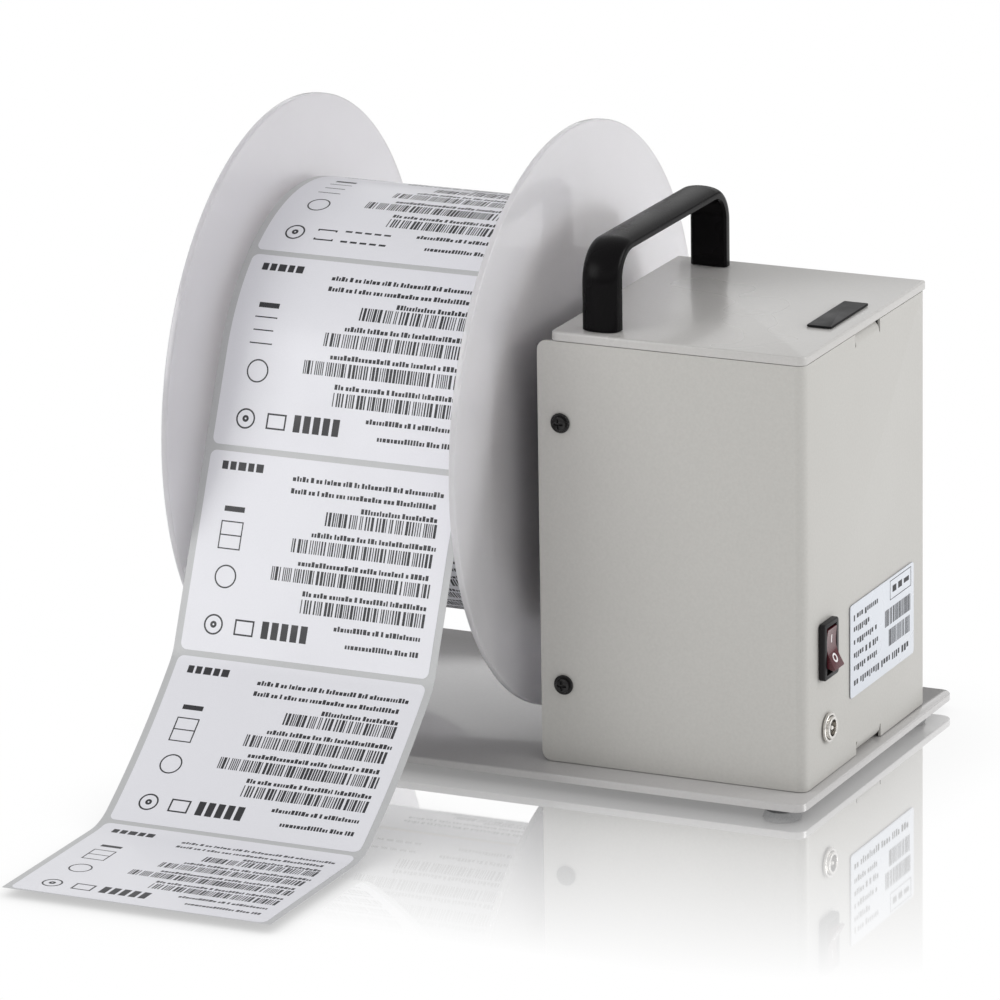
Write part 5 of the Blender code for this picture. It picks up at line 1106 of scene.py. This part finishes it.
class REWINDER_OT_strip(Operator):
    """Hangs the strip from the roll to the floor: the liner, its labels and their plain print"""

    bl_idname = "rewinder.strip"
    bl_label = "Label strip"

    def execute(self, context):
        labels, s = context.scene.rewinder_labels, context.scene.rewinder_strip
        paper, liner, ink = label_finishes(labels)
        winding = Winding(s, WEB_LOW[0])
        total, width = winding.length, WEB_HIGH[0] - WEB_LOW[0]
        along = np.unique(np.concatenate([np.linspace(0.0, total, LINER_STEPS), winding.along[::24]]))
        across = np.array((0.0, 1.0, 1.0, 0.0)) * width
        shape = band(across, along, -s.thickness + LINER_LIFT, -labels.thickness, winding.on_strip)
        strip = make_piece("strip_liner", shape, liner, "chassis", ("label_web",))
        gaps = labels.first_gap + labels.pitch * np.arange(-1, 8)
        starts = np.maximum(gaps[:-1] + labels.gap / 2, STRIP_START)
        ends = np.minimum(gaps[1:] - labels.gap / 2, total - STRIP_END)
        keep = ends - starts > LEAST_LABEL
        starts, ends = starts[keep], ends[keep]
        cut = labels.pitch - labels.gap - (ends[0] - starts[0])
        plates, prints = printed_labels(labels, starts, ends, winding.on_strip, -labels.print_thickness, cut)
        plates = make_piece("strip_labels", plates, paper, "chassis")
        prints = make_piece("strip_print", prints, ink, "chassis")
        return {"FINISHED"}


# inner parts keep their meshes and get their own finishes: slot, nodes, colour, roughness, grain's size
# and depth, how much the colour varies, and other values of the shader

METAL, SOFT = {"Metallic": 1.0}, {"Subsurface_Weight": 0.1}
GLOSSY, SLEEVE, ANODISED = {"Coat_Weight": 0.3}, {"Coat_Weight": 0.4}, {"Metallic": 0.7}
CORNERS = [f"{end}_{side}" for end in ("front", "back") for side in ("left", "right")]
INNER_FINISHES = (
    ("foot_rubber", [f"foot_{c}" for c in CORNERS], (0.16, 0.16, 0.165), 0.75, 0.0008, 3e-5, 0.2, {}),
    ("block_alloy", ["bearing_block"], (0.58, 0.58, 0.60), 0.36, 0.0007, 1e-5, 0.06, METAL),
    ("bearing_steel", ["bearing_inner", "bearing_outer"], (0.55, 0.55, 0.57), 0.18, 0.0005, 3e-6, 0.05, METAL),
    ("ground_steel", ["bearing_spacer", "spindle_collar"], (0.55, 0.55, 0.56), 0.24, 0.0003, 3e-6, 0.06, METAL),
    ("gear_acetal", ["spindle_gear"], (0.80, 0.79, 0.72), 0.42, 0.0010, 6e-6, 0.03, SOFT),
    ("pinion_brass", ["drive_pinion"], (0.68, 0.48, 0.20), 0.28, 0.0005, 4e-6, 0.06, METAL),
    ("gearbox_zinc", ["motor_gearbox"], (0.48, 0.48, 0.49), 0.42, 0.0006, 1e-5, 0.08, METAL),
    ("motor_steel", ["motor_can"], (0.30, 0.30, 0.31), 0.34, 0.0010, 5e-6, 0.07, METAL),
    ("plated_sheet", ["motor_bracket"], (0.50, 0.50, 0.49), 0.38, 0.0040, 6e-6, 0.08, METAL),
    ("board_green", ["control_board"], (0.018, 0.13, 0.05), 0.34, 0.0012, 5e-6, 0.12, GLOSSY),
    ("standoff_brass", [f"standoff_{c}" for c in CORNERS], (0.66, 0.47, 0.20), 0.30, 0.0005, 4e-6, 0.06, METAL),
    ("capacitor_sleeve", ["board_capacitor"], (0.016, 0.024, 0.07), 0.30, 0.0008, 3e-6, 0.1, SLEEVE),
    ("heatsink_alloy", ["driver_heatsink"], (0.06, 0.06, 0.065), 0.50, 0.0006, 8e-6, 0.12, ANODISED),
    ("connector_nylon", ["board_connector"], (0.74, 0.73, 0.67), 0.48, 0.0008, 8e-6, 0.04, {}),
)


class REWINDER_OT_drive(Operator):
    """Gives the feet, bearings, gears, motor and control board their finishes"""

    bl_idname = "rewinder.drive"
    bl_label = "Drive and feet"

    def execute(self, context):
        for slot, nodes, colour, rough, grain, depth, vary, sockets in INNER_FINISHES:
            name = slot.replace("_", " ").capitalize()
            finish = grained(name, colour, rough, grain, depth, vary, 0.01, **sockets)
            for node in nodes:
                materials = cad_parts[node].data.materials
                materials.clear()
                materials.append(finish)
        return {"FINISHED"}


# floor, lights and camera

MIRROR_ROUGHNESS, SHADOW_SAMPLES = 0.03, 8
BAND_RISE, BAND_FALL = 0.06, 0.08
KEY_PLACE, KEY_SIZE = (1.75, 0.75, 0.75), 0.9
LEFT_PLACE, LEFT_SIZE = (-1.2, -1.4, 1.0), 1.0
SENSOR_WIDTH, CLIP_START, CLIP_END = 36.0, 0.05, 50.0


def glossy_floor(s):
    """White floor that mirrors near the object, a share falling to none over the fade, with a soft shadow."""
    finish = bpy.data.materials.new("White floor")
    finish.use_nodes = True
    tree = finish.node_tree
    tree.nodes.clear()

    def vector(operation, *inputs):
        return wired(tree, "VectorMath", "Vector", dict(enumerate(inputs)), operation=operation)

    half = (BASE_HIGH - BASE_LOW) / 2
    place = wired(tree, "TexCoord", "Object", {})
    away = vector("ABSOLUTE", vector("SUBTRACT", place, (*BASE_MIDDLE[:2], 0.0)))
    outside = vector("MAXIMUM", vector("SUBTRACT", away, (*half[:2], 0.0)), (0.0, 0.0, 0.0))
    far = wired(tree, "VectorMath", "Value", {0: outside}, operation="LENGTH")
    share = spread(tree, far, s.gloss, 0.0, 0.0, s.fade)
    bare = wired(tree, "AmbientOcclusion", "AO", {"Distance": s.shadow}, samples=SHADOW_SAMPLES)
    lit = spread(tree, bare, s.shade, 1.0, 0.0, 1.0)
    white = wired(tree, "Emission", "Emission", {"Color": WHITE, "Strength": lit})
    mirror = wired(tree, "BsdfGlossy", "BSDF", {"Color": WHITE, "Roughness": MIRROR_ROUGHNESS})
    mixed = wired(tree, "MixShader", "Shader", {"Fac": share, 1: white, 2: mirror})
    feed(tree, tree.nodes.new("ShaderNodeOutputMaterial"), {"Surface": mixed})
    return finish


def studio_walls(tree, s):
    """A white band round the horizon between darker ground and sky: strength by the direction's Z."""
    way = wired(tree, "TexCoord", "Generated", {})
    rise = wired(tree, "SeparateXYZ", "Z", {"Vector": way})
    rising = spread(tree, rise, 0.0, 1.0, s.band_low - BAND_RISE, s.band_low)
    falling = spread(tree, rise, 0.0, 1.0, s.band_high, s.band_high + BAND_FALL)
    strength = s.wall
    for share, after in ((rising, s.band), (falling, s.sky)):
        strength = wired(tree, "Mix", "Result", {"Factor": share, "A": strength, "B": after})
    feed(tree, tree.nodes["Background"], {"Color": WHITE, "Strength": strength})


def area_light(name, place, target, size, power):
    """A white rectangular light at a place, turned towards the target."""
    lamp = bpy.data.lights.new(name, "AREA")
    lamp.shape = "RECTANGLE"
    lamp.size = lamp.size_y = size
    lamp.energy = power
    light = bpy.data.objects.new(name, lamp)
    light.location = place
    light.rotation_euler = (Vector(target) - Vector(place)).to_track_quat("-Z", "Y").to_euler()
    bpy.context.scene.collection.objects.link(light)


class REWINDER_OT_stage(Operator):
    """Lays the floor, hangs the lights and sets the camera where the photograph was taken"""

    bl_idname = "rewinder.stage"
    bl_label = "Floor, lights and camera"

    def execute(self, context):
        scene, s = context.scene, context.scene.rewinder_stage
        half = s.floor
        mesh = bpy.data.meshes.new("floor")
        corners = [(-half, -half, 0.0), (half, -half, 0.0), (half, half, 0.0), (-half, half, 0.0)]
        mesh.from_pydata(corners, [], [(0, 1, 2, 3)])
        mesh.materials.append(glossy_floor(s))
        floor = bpy.data.objects.new("floor", mesh)
        scene.collection.objects.link(floor)
        area_light("key_light", KEY_PLACE, s.target, KEY_SIZE, s.key)
        area_light("left_light", LEFT_PLACE, s.target, LEFT_SIZE, s.left)
        if scene.world is None:
            scene.world = bpy.data.worlds.new("Studio")
        scene.world.use_nodes = True
        studio_walls(scene.world.node_tree, s)
        scene.view_settings.view_transform = "Standard"
        self.camera(scene, s)
        return {"FINISHED"}

    def camera(self, scene, s):
        """The camera looks along -back, with right = (cos a, sin a, 0) and up = back x right, rolled."""
        a, e = s.azimuth, s.elevation
        back = Vector((math.sin(a) * math.cos(e), -math.cos(a) * math.cos(e), math.sin(e)))
        right = Vector((math.cos(a), math.sin(a), 0.0))
        up = back.cross(right)
        cos, sin = math.cos(s.roll), math.sin(s.roll)
        lens = bpy.data.cameras.new("photo_camera")
        lens.lens, lens.sensor_width = s.focal, SENSOR_WIDTH
        lens.clip_start, lens.clip_end = CLIP_START, CLIP_END
        camera = bpy.data.objects.new("photo_camera", lens)
        turned = Matrix((right * cos + up * sin, up * cos - right * sin, back)).transposed()
        camera.matrix_world = Matrix.Translation(Vector(s.target) + back * s.distance) @ turned.to_4x4()
        scene.collection.objects.link(camera)
        scene.camera = camera


class REWINDER_PT_panel(Panel):
    """Lists the steps in the order in which they run"""

    bl_idname = "REWINDER_PT_panel"
    bl_label = "Label rewinder"
    bl_space_type = "VIEW_3D"
    bl_region_type = "UI"
    bl_category = "Rewinder"

    def draw(self, context):
        for step in STEPS:
            self.layout.operator(step.bl_idname)
        for name in SETTINGS:
            settings = getattr(context.scene, name)
            box = self.layout.box()
            for key in settings.__annotations__:
                box.prop(settings, key)


STEPS = (
    REWINDER_OT_housing,
    REWINDER_OT_plates,
    REWINDER_OT_handle,
    REWINDER_OT_fasteners,
    REWINDER_OT_switch,
    REWINDER_OT_spindle,
    REWINDER_OT_flanges,
    REWINDER_OT_roll,
    REWINDER_OT_strip,
    REWINDER_OT_drive,
    REWINDER_OT_stage,
)
SETTINGS = {
    "rewinder_housing": HousingSettings,
    "rewinder_handle": HandleSettings,
    "rewinder_fasteners": FastenerSettings,
    "rewinder_switch": SwitchSettings,
    "rewinder_labels": LabelSettings,
    "rewinder_strip": StripSettings,
    "rewinder_flanges": FlangeSettings,
    "rewinder_stage": StageSettings,
}


def register():
    for kind in (*SETTINGS.values(), *STEPS, REWINDER_PT_panel):
        bpy.utils.register_class(kind)
    for name, kind in SETTINGS.items():
        setattr(bpy.types.Scene, name, PointerProperty(type=kind))


def unregister():
    for name in SETTINGS:
        delattr(bpy.types.Scene, name)
    for kind in (REWINDER_PT_panel, *reversed(STEPS), *reversed(SETTINGS.values())):
        bpy.utils.unregister_class(kind)


def main():
    register()
    for step in STEPS:
        group, action = step.bl_idname.split(".")
        getattr(getattr(bpy.ops, group), action)()


if __name__ == "__main__":
    main()
